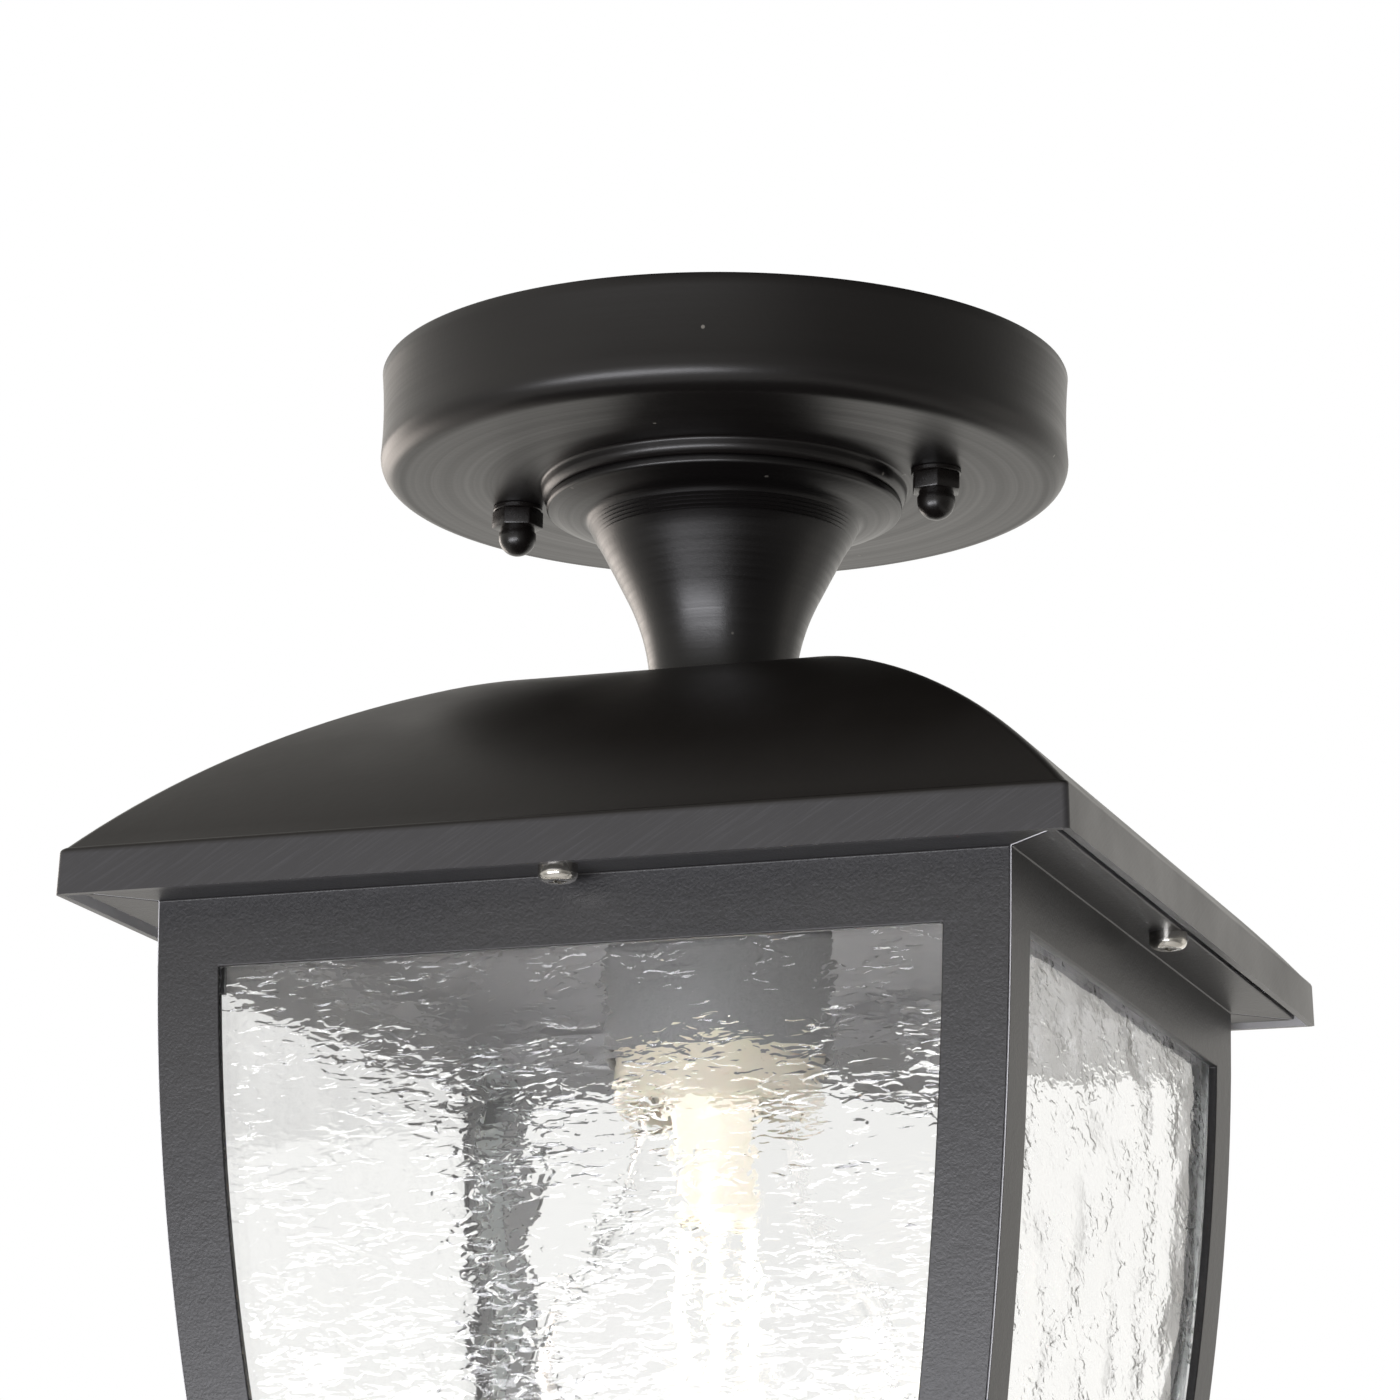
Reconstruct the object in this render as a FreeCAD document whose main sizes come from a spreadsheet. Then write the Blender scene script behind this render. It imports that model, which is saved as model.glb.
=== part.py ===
import FreeCAD, Part
import math
import os
import Sketcher

# Porch ceiling lantern. Millimetres, +Z up.
# The origin is the centre of the ceiling plane, so everything hangs at negative Z.
# The lantern's front is -Y, and a camera in front of it has +X on its right.

doc = FreeCAD.newDocument("PorchCeilingLantern")

DRIVING_SIZES = (
    # ceiling hardware, two crossed straps that turn on a hollow eyelet
    ("strap_width", 20.0),
    ("strap_sheet", 1.5),
    ("box_strap_half", 52.0),
    ("box_strap_joggle", 1.5),
    ("joggle_inner", 16.0),
    ("joggle_outer", 19.0),
    ("box_slot_spacing", 79.4),
    ("box_slot_length", 14.0),
    ("box_slot_radius", 2.3),
    ("strap_corner_round", 5.0),
    ("eyelet_bore", 5.0),
    ("eyelet_tube", 5.8),
    ("eyelet_flange", 8.2),
    ("eyelet_sheet", 0.7),
    ("stud_strap_drop", 3.1),
    ("stud_strap_half", 46.0),
    ("swivel_gap", 0.1),
    ("fit_gap", 0.05),
    ("stud_spacing", 77.6),
    ("stud_radius", 2.08),
    ("stud_end_drop", 25.4),
    ("stud_head_radius", 3.7),
    ("stud_head_height", 2.3),
    ("stud_head_round", 1.0),
    ("driver_slot_reach", 3.8),
    ("driver_slot_half", 0.5),
    ("driver_slot_depth", 1.1),
    ("ground_screw_reach", 24.0),
    ("ground_head_radius", 4.2),
    ("ground_head_height", 2.2),
    ("ground_end_reach", 0.9),
    # canopy, a spun steel dish with a raised boss
    ("canopy_radius", 60.35),
    ("canopy_depth", 19.6),
    ("canopy_sheet", 0.9),
    ("canopy_edge_round", 4.0),
    ("canopy_waist", 87.0),
    ("boss_radius", 32.0),
    ("boss_drop", 2.8),
    ("boss_foot_round", 0.6),
    ("boss_edge_round", 1.6),
    # cap nuts on the canopy studs, 8-32 size
    ("washer_radius", 4.35),
    ("washer_thick", 0.9),
    ("cap_nut_flats", 7.94),
    ("cap_hex_height", 3.1),
    ("cap_dome_radius", 3.3),
    ("cap_neck_height", 1.7),
    ("lock_nut_height", 2.6),
    # neck, a turned trumpet between the canopy and the roof
    ("neck_rim_radius", 31.2),
    ("neck_rim_thick", 1.7),
    ("neck_rim_bevel", 0.6),
    ("neck_dish_round", 24.0),
    ("neck_crease_radius", 23.8),
    ("neck_crease_drop", 26.3),
    ("neck_crease_land", 0.5),
    ("neck_mouth_wall", 2.0),
    ("neck_cone_radius", 17.0),
    ("neck_cone_drop", 39.5),
    ("neck_foot_radius", 12.6),
    ("neck_flare", 38.4),
    ("neck_wall", 2.2),
    ("neck_web", 4.0),
    # all-thread nipple, M10 by 1, with its nuts
    ("nipple_radius", 5.0),
    ("nipple_bore", 3.6),
    ("nipple_top_drop", 16.2),
    ("nipple_end_drop", 84.0),
    ("nipple_nut_flats", 14.0),
    ("cup_nut_flats", 12.0),
    ("nipple_nut_height", 3.2),
    ("nipple_washer_radius", 8.5),
    ("nipple_washer_thick", 1.2),
    # roof, a pressed square dome with a skirt
    ("crown_drop", 57.0),
    ("crown_half", 12.6),
    ("crown_round", 60.0),
    ("shoulder_half", 36.4),
    ("shoulder_drop", 62.0),
    ("shoulder_round", 138.0),
    ("eave_half", 84.0),
    ("eave_drop", 96.7),
    ("eave_round", 0.9),
    ("skirt_top_half", 84.75),
    ("skirt_top_drop", 97.5),
    ("skirt_half", 85.0),
    ("skirt_drop", 104.6),
    ("roof_sheet", 1.3),
    ("skirt_corner_round", 1.2),
    # cage, four mitred side frames that curve inward
    ("cage_top_drop", 103.9),
    ("cage_half", 72.4),
    ("cage_bottom_half", 46.5),
    ("cage_height", 176.0),
    ("frame_sheet", 1.6),
    ("flange_half", 81.8),
    ("header", 11.5),
    ("stile", 11.1),
    ("bottom_lip", 6.5),
    ("mitre_gap", 0.1),
    ("cage_screw_reach", 79.0),
    ("cage_screw_radius", 1.45),
    ("cage_screw_hole", 1.7),
    ("cage_head_radius", 3.2),
    ("cage_head_height", 2.7),
    ("cage_head_round", 1.3),
    ("cage_screw_end_reach", 1.2),
    ("tab_width", 16.0),
    ("tab_sheet", 1.5),
    ("tab_height", 4.4),
    ("tab_depth", 10.0),
    ("angle_sheet", 1.2),
    ("angle_leg", 5.3),
    # bent water glass and the clips that press it to the frames
    ("glass_thick", 3.0),
    ("glass_gap", 0.3),
    ("glass_inset", 7.4),
    ("glass_top_margin", 3.0),
    ("glass_bottom_margin", 3.4),
    ("clip_height", 6.0),
    ("clip_sheet", 0.8),
    ("upper_clip_depth", 12.5),
    ("lower_clip_depth", 158.0),
    ("clip_foot_reach", 5.9),
    ("clip_base_end", 3.4),
    ("clip_finger_end", 10.5),
    # lampholder in its steel cup
    ("cup_top_drop", 78.6),
    ("cup_rim_drop", 122.0),
    ("cup_radius", 19.5),
    ("cup_sheet", 0.8),
    ("cup_round", 5.0),
    ("holder_top_drop", 91.5),
    ("holder_rim_drop", 130.1),
    ("holder_radius", 18.0),
    ("holder_bore", 14.6),
    ("holder_web", 7.0),
    ("holder_boss_reach", 10.8),
    ("holder_boss_radius", 3.6),
    ("holder_head_radius", 2.95),
    ("holder_head_height", 2.1),
    ("holder_rim_round", 1.5),
    ("holder_screw_radius", 1.5),
    ("holder_screw_grip", 2.0),
    ("holder_hole_radius", 1.55),
    ("cup_hole_radius", 1.7),
    ("shell_radius", 13.45),
    ("shell_sheet", 0.4),
    ("shell_window_radius", 7.0),
    ("shell_rim_inset", 2.0),
    ("contact_tip_drop", 101.8),
    ("contact_width", 5.0),
    ("contact_strip", 0.5),
    # lamp, 60 mm bulb on a 26 mm screw cap
    ("lamp_top_drop", 102.0),
    ("lamp_rim_drop", 128.6),
    ("lamp_cap_radius", 13.15),
    ("lamp_cap_sheet", 0.35),
    ("lamp_pip_radius", 4.0),
    ("lamp_pip_height", 1.0),
    ("lamp_pip_bevel", 0.4),
    ("lamp_crown_radius", 9.5),
    ("lamp_crown_drop", 4.0),
    ("lamp_shoulder_drop", 7.0),
    ("bulb_radius", 30.0),
    ("bulb_centre_drop", 175.6),
    ("bulb_neck_radius", 13.3),
    ("bulb_neck_drop", 129.6),
    ("bulb_wall", 0.8),
    ("stem_radius", 6.8),
    ("stem_end_drop", 149.6),
    ("stem_flare_round", 11.0),
    ("post_radius", 1.6),
    ("post_end_drop", 188.5),
    ("filament_reach", 8.0),
    ("filament_radius", 1.0),
    ("filament_top_drop", 152.0),
    ("filament_length", 34.0),
    ("filament_turn", 64.3),
    ("support_radius", 0.35),
    # leads, sleeved copper wire
    ("lead_radius", 0.95),
    ("lead_core_radius", 0.5),
    ("lead_bare_length", 8.0),
)

sheet = doc.addObject("Spreadsheet::Sheet", "Dimensions")
for row, (alias, number) in enumerate(DRIVING_SIZES, start=1):
    sheet.set("A%d" % row, alias)
    sheet.set("B%d" % row, str(number))
    sheet.setAlias("B%d" % row, alias)
doc.recompute()


class Size:
    """A length that knows its number and its formula over the sheet."""

    def __init__(self, number, formula):
        self.number = number
        self.formula = formula

    def __add__(self, other):
        other = as_size(other)
        return Size(self.number + other.number, "(%s + %s)" % (self.formula, other.formula))

    def __sub__(self, other):
        other = as_size(other)
        return Size(self.number - other.number, "(%s - %s)" % (self.formula, other.formula))

    def __mul__(self, other):
        other = as_size(other)
        return Size(self.number * other.number, "(%s * %s)" % (self.formula, other.formula))

    def __truediv__(self, other):
        other = as_size(other)
        return Size(self.number / other.number, "(%s / %s)" % (self.formula, other.formula))

    def __neg__(self):
        return Size(-self.number, "(0 - %s)" % self.formula)


def as_size(value):
    return value if isinstance(value, Size) else Size(float(value), repr(float(value)))


def root(size):
    return Size(math.sqrt(size.number), "sqrt(%s)" % size.formula)


class Sheet:
    """Every driving size as an attribute."""


D = Sheet()
for alias, number in DRIVING_SIZES:
    setattr(D, alias, Size(number, "Dimensions.%s" % alias))

# Levels that several pieces share.
boss_level = -(D.canopy_depth + D.boss_drop)
canopy_inside = boss_level + D.canopy_sheet
strap_under = -(D.stud_strap_drop + D.strap_sheet)
roof_inside = -(D.crown_drop + D.roof_sheet)
cup_inside = -(D.cup_top_drop + D.cup_sheet)


# ---------------------------------------------------------------- helpers

def bind(feature, **sizes):
    """Ties properties of a feature to formulas over the sheet."""
    for name, size in sizes.items():
        feature.setExpression(name.replace("__", "."), as_size(size).formula)


def new_body(label):
    body = doc.addObject("PartDesign::Body", label)
    body.Label = label
    return body


def place(feature, x=0, angle=0):
    """Puts a sub-part at a bound distance along X, turned about Z."""
    feature.Placement = FreeCAD.Placement(
        FreeCAD.Vector(), FreeCAD.Rotation(FreeCAD.Vector(0, 0, 1), angle))
    bind(feature, Placement__Base__x=x)
    return feature


def new_sketch(body, role, name, height=0):
    """A sketch on one of the body's own origin planes, raised along the plane's normal."""
    sketch = body.newObject("Sketcher::SketchObject", name)
    planes = [item for item in body.Origin.OriginFeatures if item.Role == role]
    sketch.AttachmentSupport = [(planes[0], "")]
    sketch.MapMode = "FlatFace"
    if isinstance(height, Size):
        bind(sketch, AttachmentOffset__Base__z=height)
    return sketch


def pin_point(sketch, geometry, point, x, y):
    """Fixes a point of the sketch at a bound distance from the sketch's origin."""
    for direction, size in (("DistanceX", as_size(x)), ("DistanceY", as_size(y))):
        index = sketch.addConstraint(
            Sketcher.Constraint(direction, -1, 1, geometry, point, size.number))
        sketch.setExpression("Constraints[%d]" % index, size.formula)


def arc_between(start, end, radius, turn):
    """The short arc from start to end; turn +1 goes anticlockwise, -1 clockwise.

    Without a radius it is a half circle.
    """
    half = (end - start) * 0.5
    chord = half.Length
    if radius is None:
        radius = chord
    side = FreeCAD.Vector(-half.y, half.x, 0).normalize()
    centre = start + half + side * (turn * math.sqrt(max(radius * radius - chord * chord, 0.0)))
    first = math.atan2(start.y - centre.y, start.x - centre.x)
    last = math.atan2(end.y - centre.y, end.x - centre.x)
    if turn < 0:
        first, last = last, first
    circle = Part.Circle(centre, FreeCAD.Vector(0, 0, 1), radius)
    return Part.ArcOfCircle(circle, first, last)


def draw_loop(sketch, corners, arcs=None):
    """A closed outline through the corners.

    arcs maps the number of a side to (radius, turn); the other sides are straight.
    A radius of None means a half circle on a level chord.
    """
    arcs = arcs or {}
    first_side = sketch.GeometryCount
    places = [FreeCAD.Vector(as_size(x).number, as_size(y).number, 0) for x, y in corners]
    ends = []
    for side in range(len(places)):
        start = places[side]
        end = places[(side + 1) % len(places)]
        if side in arcs:
            radius, turn = arcs[side]
            number = None if radius is None else as_size(radius).number
            sketch.addGeometry(arc_between(start, end, number, turn), False)
            ends.append((1, 2) if turn > 0 else (2, 1))
        else:
            sketch.addGeometry(Part.LineSegment(start, end), False)
            ends.append((1, 2))
    for side in range(len(places)):
        following = (side + 1) % len(places)
        sketch.addConstraint(Sketcher.Constraint(
            "Coincident", first_side + side, ends[side][1],
            first_side + following, ends[following][0]))
    for side, (x, y) in enumerate(corners):
        pin_point(sketch, first_side + side, ends[side][0], x, y)
    for side, (radius, turn) in arcs.items():
        if radius is None:
            size = as_size(corners[side][1])
            rule = Sketcher.Constraint("DistanceY", -1, 1, first_side + side, 3, size.number)
        else:
            size = as_size(radius)
            rule = Sketcher.Constraint("Radius", first_side + side, size.number)
        index = sketch.addConstraint(rule)
        sketch.setExpression("Constraints[%d]" % index, size.formula)


def draw_circle(sketch, x, y, radius):
    centre = FreeCAD.Vector(as_size(x).number, as_size(y).number, 0)
    size = as_size(radius)
    geometry = sketch.addGeometry(
        Part.Circle(centre, FreeCAD.Vector(0, 0, 1), size.number), False)
    pin_point(sketch, geometry, 3, x, y)
    index = sketch.addConstraint(Sketcher.Constraint("Radius", geometry, size.number))
    sketch.setExpression("Constraints[%d]" % index, size.formula)


def pad(body, sketch, length, both_ways=False):
    feature = body.newObject("PartDesign::Pad", "Pad")
    feature.Profile = sketch
    feature.SideType = "Symmetric" if both_ways else "One side"
    bind(feature, Length=length)
    doc.recompute()


def pocket(body, sketch, depth=None, upward=False):
    """A pocket that has to remove something; without a depth it goes through, both ways."""
    before = body.Shape.Volume
    feature = body.newObject("PartDesign::Pocket", "Pocket")
    feature.Profile = sketch
    if depth is None:
        feature.SideType = "Symmetric"
        feature.Type = "ThroughAll"
    else:
        feature.SideType = "One side"
        feature.Reversed = upward
        bind(feature, Length=depth)
    doc.recompute()
    if body.Shape.Volume > before - 1e-3:
        raise ValueError("%s: the pocket cut nothing" % body.Label)


def cut_through(body, sketch):
    pocket(body, sketch)


def cut_down(body, sketch, depth):
    pocket(body, sketch, depth)


def turn_round(body, sketch):
    """A full turn of the sketch about the vertical axis."""
    feature = body.newObject("PartDesign::Revolution", "Revolution")
    feature.Profile = sketch
    feature.ReferenceAxis = (sketch, ["V_Axis"])
    feature.Angle = 360.0
    doc.recompute()


def round_edges(body, radius, wanted):
    """Rounds the edges of the body that pass the test."""
    names = ["Edge%d" % (number + 1) for number, edge in enumerate(body.Shape.Edges)
             if wanted(edge)]
    base = body.Tip
    feature = body.newObject("PartDesign::Fillet", "Fillet")
    feature.Base = (base, names)
    bind(feature, Radius=radius)
    doc.recompute()


def lathe(label, corners, arcs=None):
    """A turned piece: its half section, radius against height, spun about Z."""
    body = new_body(label)
    sketch = new_sketch(body, "XZ_Plane", "HalfSection")
    draw_loop(sketch, corners, arcs)
    turn_round(body, sketch)
    return body


def tube(label, inner, outer, top, bottom):
    """A plain ring; top and bottom are heights."""
    return lathe(label, [(inner, bottom), (outer, bottom), (outer, top), (inner, top)])


def hexagon(sketch, flats, x=0, y=0, angle=0):
    """A hexagon by its width across flats, with a corner at the angle in degrees."""
    corner = flats / math.sqrt(3)
    corners = []
    for number in range(6):
        turn = math.radians(angle + 60 * number)
        corners.append((corner * math.cos(turn) + x, corner * math.sin(turn) + y))
    draw_loop(sketch, corners)


def columns(label, places, steps):
    """The same stepped round post at several places: steps are (radius, bottom, height)."""
    body = new_body(label)
    for radius, bottom, height in steps:
        sketch = new_sketch(body, "XY_Plane", "Rounds", as_size(bottom))
        for x, y in places:
            draw_circle(sketch, x, y, radius)
        pad(body, sketch, height)
    return body


def flat_at(edge, height):
    """True for an edge that lies all on one level."""
    box = edge.BoundBox
    return abs(box.ZMin - height) < 1e-4 and abs(box.ZMax - height) < 1e-4


def cut_cross(body, level, places, arm, width, depth):
    """Cross recesses, cut from below, for a cross-point screwdriver."""
    sketch = new_sketch(body, "XY_Plane", "CrossRecess", level)
    for x, y in places:
        x = as_size(x)
        y = as_size(y)
        outline = ((arm, width), (width, width), (width, arm), (-width, arm), (-width, width),
                   (-arm, width), (-arm, -width), (-width, -width), (-width, -arm),
                   (width, -arm), (width, -width), (arm, -width))
        draw_loop(sketch, [(x + as_size(a), y + as_size(b)) for a, b in outline])
    pocket(body, sketch, depth, upward=True)


# ---------------------------------------------------------------- ceiling hardware

def box_strap():
    """The strap that screws to the ceiling box; its middle is joggled down."""
    body = new_body("box_strap")
    sketch = new_sketch(body, "YZ_Plane", "JoggledSection")
    lean = D.strap_sheet * 0.4
    half = (
        (D.box_strap_half, as_size(0)),
        (D.joggle_outer, as_size(0)),
        (D.joggle_inner, -D.box_strap_joggle),
    )
    under = (
        (D.joggle_inner - lean, -D.box_strap_joggle - D.strap_sheet),
        (D.joggle_outer - lean, -D.strap_sheet),
        (D.box_strap_half, -D.strap_sheet),
    )
    corners = [(-x, z) for x, z in half] + [(x, z) for x, z in reversed(half)]
    corners += [(x, z) for x, z in reversed(under)] + [(-x, z) for x, z in under]
    draw_loop(sketch, corners)
    pad(body, sketch, D.strap_width, both_ways=True)

    holes = new_sketch(body, "XY_Plane", "SlotsAndBore")
    straight = D.box_slot_length / 2 - D.box_slot_radius
    for side in (-1, 1):
        centre = D.box_slot_spacing * (side / 2)
        near = centre - straight
        far = centre + straight
        draw_loop(holes, [(D.box_slot_radius, near), (D.box_slot_radius, far),
                          (-D.box_slot_radius, far), (-D.box_slot_radius, near)],
                  {1: (None, 1), 3: (None, 1)})
    draw_circle(holes, 0, 0, D.eyelet_tube + D.fit_gap)
    cut_through(body, holes)
    end = D.box_strap_half.number
    round_edges(body, D.strap_corner_round, lambda edge: edge.BoundBox.ZLength > 1
                and edge.BoundBox.YLength < 1e-4 and abs(abs(edge.BoundBox.YMin) - end) < 1e-4)
    return body


def swivel_eyelet():
    """The hollow rivet that joins the two straps; the house wires come through it."""
    top = -D.box_strap_joggle
    lower = strap_under - D.swivel_gap
    return lathe("swivel_eyelet", [
        (D.eyelet_bore, lower - D.eyelet_sheet), (D.eyelet_flange, lower - D.eyelet_sheet),
        (D.eyelet_flange, lower), (D.eyelet_tube, lower), (D.eyelet_tube, top),
        (D.eyelet_flange, top), (D.eyelet_flange, top + D.eyelet_sheet),
        (D.eyelet_bore, top + D.eyelet_sheet)])


def stud_strap():
    """The strap that carries the canopy studs and the ground screw."""
    body = new_body("stud_strap")
    sketch = new_sketch(body, "XY_Plane", "Bar", strap_under)
    x = D.stud_strap_half
    y = D.strap_width / 2
    draw_loop(sketch, [(-x, -y), (x, -y), (x, y), (-x, y)])
    pad(body, sketch, D.strap_sheet)
    holes = new_sketch(body, "XY_Plane", "Holes")
    draw_circle(holes, 0, 0, D.eyelet_tube + D.fit_gap)
    for side in (-1, 1):
        draw_circle(holes, D.stud_spacing * (side / 2), 0, D.stud_radius + D.fit_gap)
    draw_circle(holes, D.ground_screw_reach, 0, D.stud_radius + D.fit_gap)
    cut_through(body, holes)
    round_edges(body, D.strap_corner_round, lambda edge: edge.BoundBox.ZLength > 1
                and abs(abs(edge.BoundBox.XMin) - x.number) < 1e-4)
    return body


def canopy_studs():
    """Two machine screws that hang from the stud strap and carry the canopy."""
    places = [(-D.stud_spacing / 2, 0), (D.stud_spacing / 2, 0)]
    top = -D.stud_strap_drop
    body = columns("canopy_studs", places, [
        (D.stud_radius, -D.stud_end_drop, D.stud_end_drop - D.stud_strap_drop),
        (D.stud_head_radius, top, D.stud_head_height)])
    head_top = (top + D.stud_head_height).number
    round_edges(body, D.stud_head_round, lambda edge: flat_at(edge, head_top))
    slot = new_sketch(body, "XY_Plane", "DriverSlots", top + D.stud_head_height)
    reach = D.driver_slot_reach
    half = D.driver_slot_half
    for x, y in places:
        draw_loop(slot, [(x - reach, -half), (x + reach, -half), (x + reach, half),
                         (x - reach, half)])
    cut_down(body, slot, D.driver_slot_depth)
    return body


def strap_lock_nuts():
    """Nuts that lock the studs to the underside of the stud strap."""
    body = new_body("strap_lock_nuts")
    sketch = new_sketch(body, "XY_Plane", "Hexagons", strap_under - D.lock_nut_height)
    for side in (-1, 1):
        hexagon(sketch, D.cap_nut_flats, x=D.stud_spacing * (side / 2))
        draw_circle(sketch, D.stud_spacing * (side / 2), 0, D.stud_radius + D.fit_gap)
    pad(body, sketch, D.lock_nut_height)
    return body


def ground_screw():
    """The green earthing screw, threaded into the stud strap from below."""
    low = strap_under - D.ground_head_height
    body = columns("ground_screw", [(D.ground_screw_reach, 0)], [
        (D.stud_radius, strap_under, D.strap_sheet + D.ground_end_reach),
        (D.ground_head_radius, low, D.ground_head_height)])
    round_edges(body, 0.8, lambda edge: flat_at(edge, low.number))
    cut_cross(body, low, [(D.ground_screw_reach, 0)], 2.2, 0.5, 1.3)
    return body


def canopy():
    """The ceiling cover: a spun dish with a waisted wall and a raised boss."""
    wall = D.canopy_sheet
    radius = D.canopy_radius
    floor = -D.canopy_depth
    wall_end = floor + D.canopy_edge_round
    flat_end = radius - D.canopy_edge_round
    foot = D.boss_radius + D.boss_foot_round
    foot_low = floor - D.boss_foot_round
    crest = D.boss_radius - D.boss_edge_round
    crest_high = boss_level + D.boss_edge_round
    bore = D.nipple_radius + 0.2
    body = lathe("canopy", [
        (bore, boss_level), (crest, boss_level), (D.boss_radius, crest_high),
        (D.boss_radius, foot_low), (foot, floor), (flat_end, floor), (radius, wall_end),
        (radius, as_size(0)), (radius - wall, as_size(0)), (radius - wall, wall_end),
        (flat_end, floor + wall), (foot, floor + wall), (D.boss_radius - wall, foot_low),
        (D.boss_radius - wall, crest_high), (crest, boss_level + wall),
        (bore, boss_level + wall)],
        {1: (D.boss_edge_round, 1), 3: (D.boss_foot_round, -1), 5: (D.canopy_edge_round, 1),
         6: (D.canopy_waist, -1), 8: (D.canopy_waist + wall, 1),
         9: (D.canopy_edge_round - wall, -1), 11: (D.boss_foot_round + wall, 1),
         13: (D.boss_edge_round - wall, -1)})
    holes = new_sketch(body, "XY_Plane", "StudHoles")
    for side in (-1, 1):
        draw_circle(holes, D.stud_spacing * (side / 2), 0, D.stud_radius + 0.3)
    cut_through(body, holes)
    return body


def stud_washer(label, side):
    """A flat washer under a cap nut, built on its own axis and put on its stud."""
    top = -D.canopy_depth
    body = tube(label, D.stud_radius + 0.15, D.washer_radius, top, top - D.washer_thick)
    return place(body, x=D.stud_spacing * (side / 2))


def cap_nut(label, side, corner_angle):
    """A domed cap nut, a hexagon with a round crown, threaded blind."""
    body = new_body(label)
    top = -(D.canopy_depth + D.washer_thick)
    hex_low = top - D.cap_hex_height
    sketch = new_sketch(body, "XY_Plane", "Hexagon", hex_low)
    hexagon(sketch, D.cap_nut_flats, angle=corner_angle)
    pad(body, sketch, D.cap_hex_height)
    crown = new_sketch(body, "XZ_Plane", "Crown")
    neck_low = hex_low - D.cap_neck_height
    draw_loop(crown, [(as_size(0), neck_low - D.cap_dome_radius), (D.cap_dome_radius, neck_low),
                      (D.cap_dome_radius, hex_low + 0.5), (as_size(0), hex_low + 0.5)],
              {0: (D.cap_dome_radius, 1)})
    turn_round(body, crown)
    thread = new_sketch(body, "XY_Plane", "Thread", top)
    draw_circle(thread, 0, 0, D.stud_radius + D.fit_gap)
    cut_down(body, thread, D.stud_end_drop - D.canopy_depth - D.washer_thick + 0.9)
    return place(body, x=D.stud_spacing * (side / 2))


# ---------------------------------------------------------------- neck and nipple

def neck():
    """The trumpet between canopy and roof, hollow, with a web at its foot."""
    top = boss_level
    rim = D.neck_rim_radius
    bevel = D.neck_rim_bevel
    rim_low = top - D.neck_rim_thick
    crease = -D.neck_crease_drop
    cone = -D.neck_cone_drop
    foot = -D.crown_drop
    wall = D.neck_wall
    web = foot + D.neck_web
    bore = D.nipple_radius + 0.3
    return lathe("neck", [
        (bore, foot), (D.neck_foot_radius, foot), (D.neck_cone_radius, cone),
        (D.neck_crease_radius, crease),
        (D.neck_crease_radius + D.neck_crease_land, crease + D.neck_crease_land),
        (rim - bevel, rim_low), (rim, rim_low + bevel), (rim, top - bevel), (rim - bevel, top),
        (D.neck_crease_radius - D.neck_mouth_wall, top), (D.neck_cone_radius - wall, cone),
        (D.neck_foot_radius - wall, web), (bore, web)],
        {1: (D.neck_flare, -1), 4: (D.neck_dish_round, 1)})


def nipple():
    """The threaded tube that clamps canopy, neck and roof and carries the lampholder."""
    return tube("nipple", D.nipple_bore, D.nipple_radius, -D.nipple_top_drop, -D.nipple_end_drop)


def nipple_nut(label, top, flats):
    body = new_body(label)
    sketch = new_sketch(body, "XY_Plane", "Hexagon", top - D.nipple_nut_height)
    hexagon(sketch, flats, angle=15)
    draw_circle(sketch, 0, 0, D.nipple_radius + D.fit_gap)
    pad(body, sketch, D.nipple_nut_height)
    return body


def nipple_washer(label, top):
    return tube(label, D.nipple_radius + 0.1, D.nipple_washer_radius, top,
                top - D.nipple_washer_thick)


# ---------------------------------------------------------------- roof

def dome(label, offset):
    """A square dome: two equal barrels crossed, so that its hips run into the corners.

    offset is how far inside the outer skin it lies.
    """
    crown = -(D.crown_drop + offset)
    shoulder_x = D.shoulder_half - offset * 0.40
    shoulder_z = -(D.shoulder_drop + offset * 0.92)
    eave_x = D.eave_half - offset * 0.74
    eave_z = -(D.eave_drop + offset * 0.67)
    skirt_x = D.skirt_top_half - offset
    skirt_z = -(D.skirt_top_drop + offset * 0.3)
    base = -(D.skirt_drop + offset * 0.5)
    half = [(D.crown_half, crown), (shoulder_x, shoulder_z), (eave_x, eave_z),
            (skirt_x, skirt_z), (D.skirt_half - offset, base)]
    arcs = {0: (D.crown_round - offset, -1), 1: (D.shoulder_round - offset, -1),
            2: (D.eave_round, -1)}
    corners = half + [(-x, z) for x, z in reversed(half)]
    last = len(corners) - 2
    arcs.update({last - side: arc for side, arc in dict(arcs).items()})

    body = new_body(label)
    section = new_sketch(body, "XZ_Plane", "Section")
    draw_loop(section, corners, arcs)
    pad(body, section, D.skirt_half * 2.2, both_ways=True)

    outside = new_sketch(body, "YZ_Plane", "CrossSection")
    reach = D.skirt_half + 15
    draw_loop(outside, [(-reach, base - 5), (reach, base - 5), (reach, crown + 5),
                        (-reach, crown + 5)])
    draw_loop(outside, corners, arcs)
    cut_through(body, outside)

    plan = new_sketch(body, "XY_Plane", "RoundedPlan")
    draw_loop(plan, [(-reach, -reach), (reach, -reach), (reach, reach), (-reach, reach)])
    rounded_square(plan, D.skirt_half - offset, D.skirt_corner_round)
    cut_through(body, plan)
    return body


def rounded_square(sketch, half, radius):
    inner = half - radius
    draw_loop(sketch, [(inner, -half), (half, -inner), (half, inner), (inner, half),
                       (-inner, half), (-half, inner), (-half, -inner), (-inner, -half)],
              {0: (radius, 1), 2: (radius, 1), 4: (radius, 1), 6: (radius, 1)})


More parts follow.
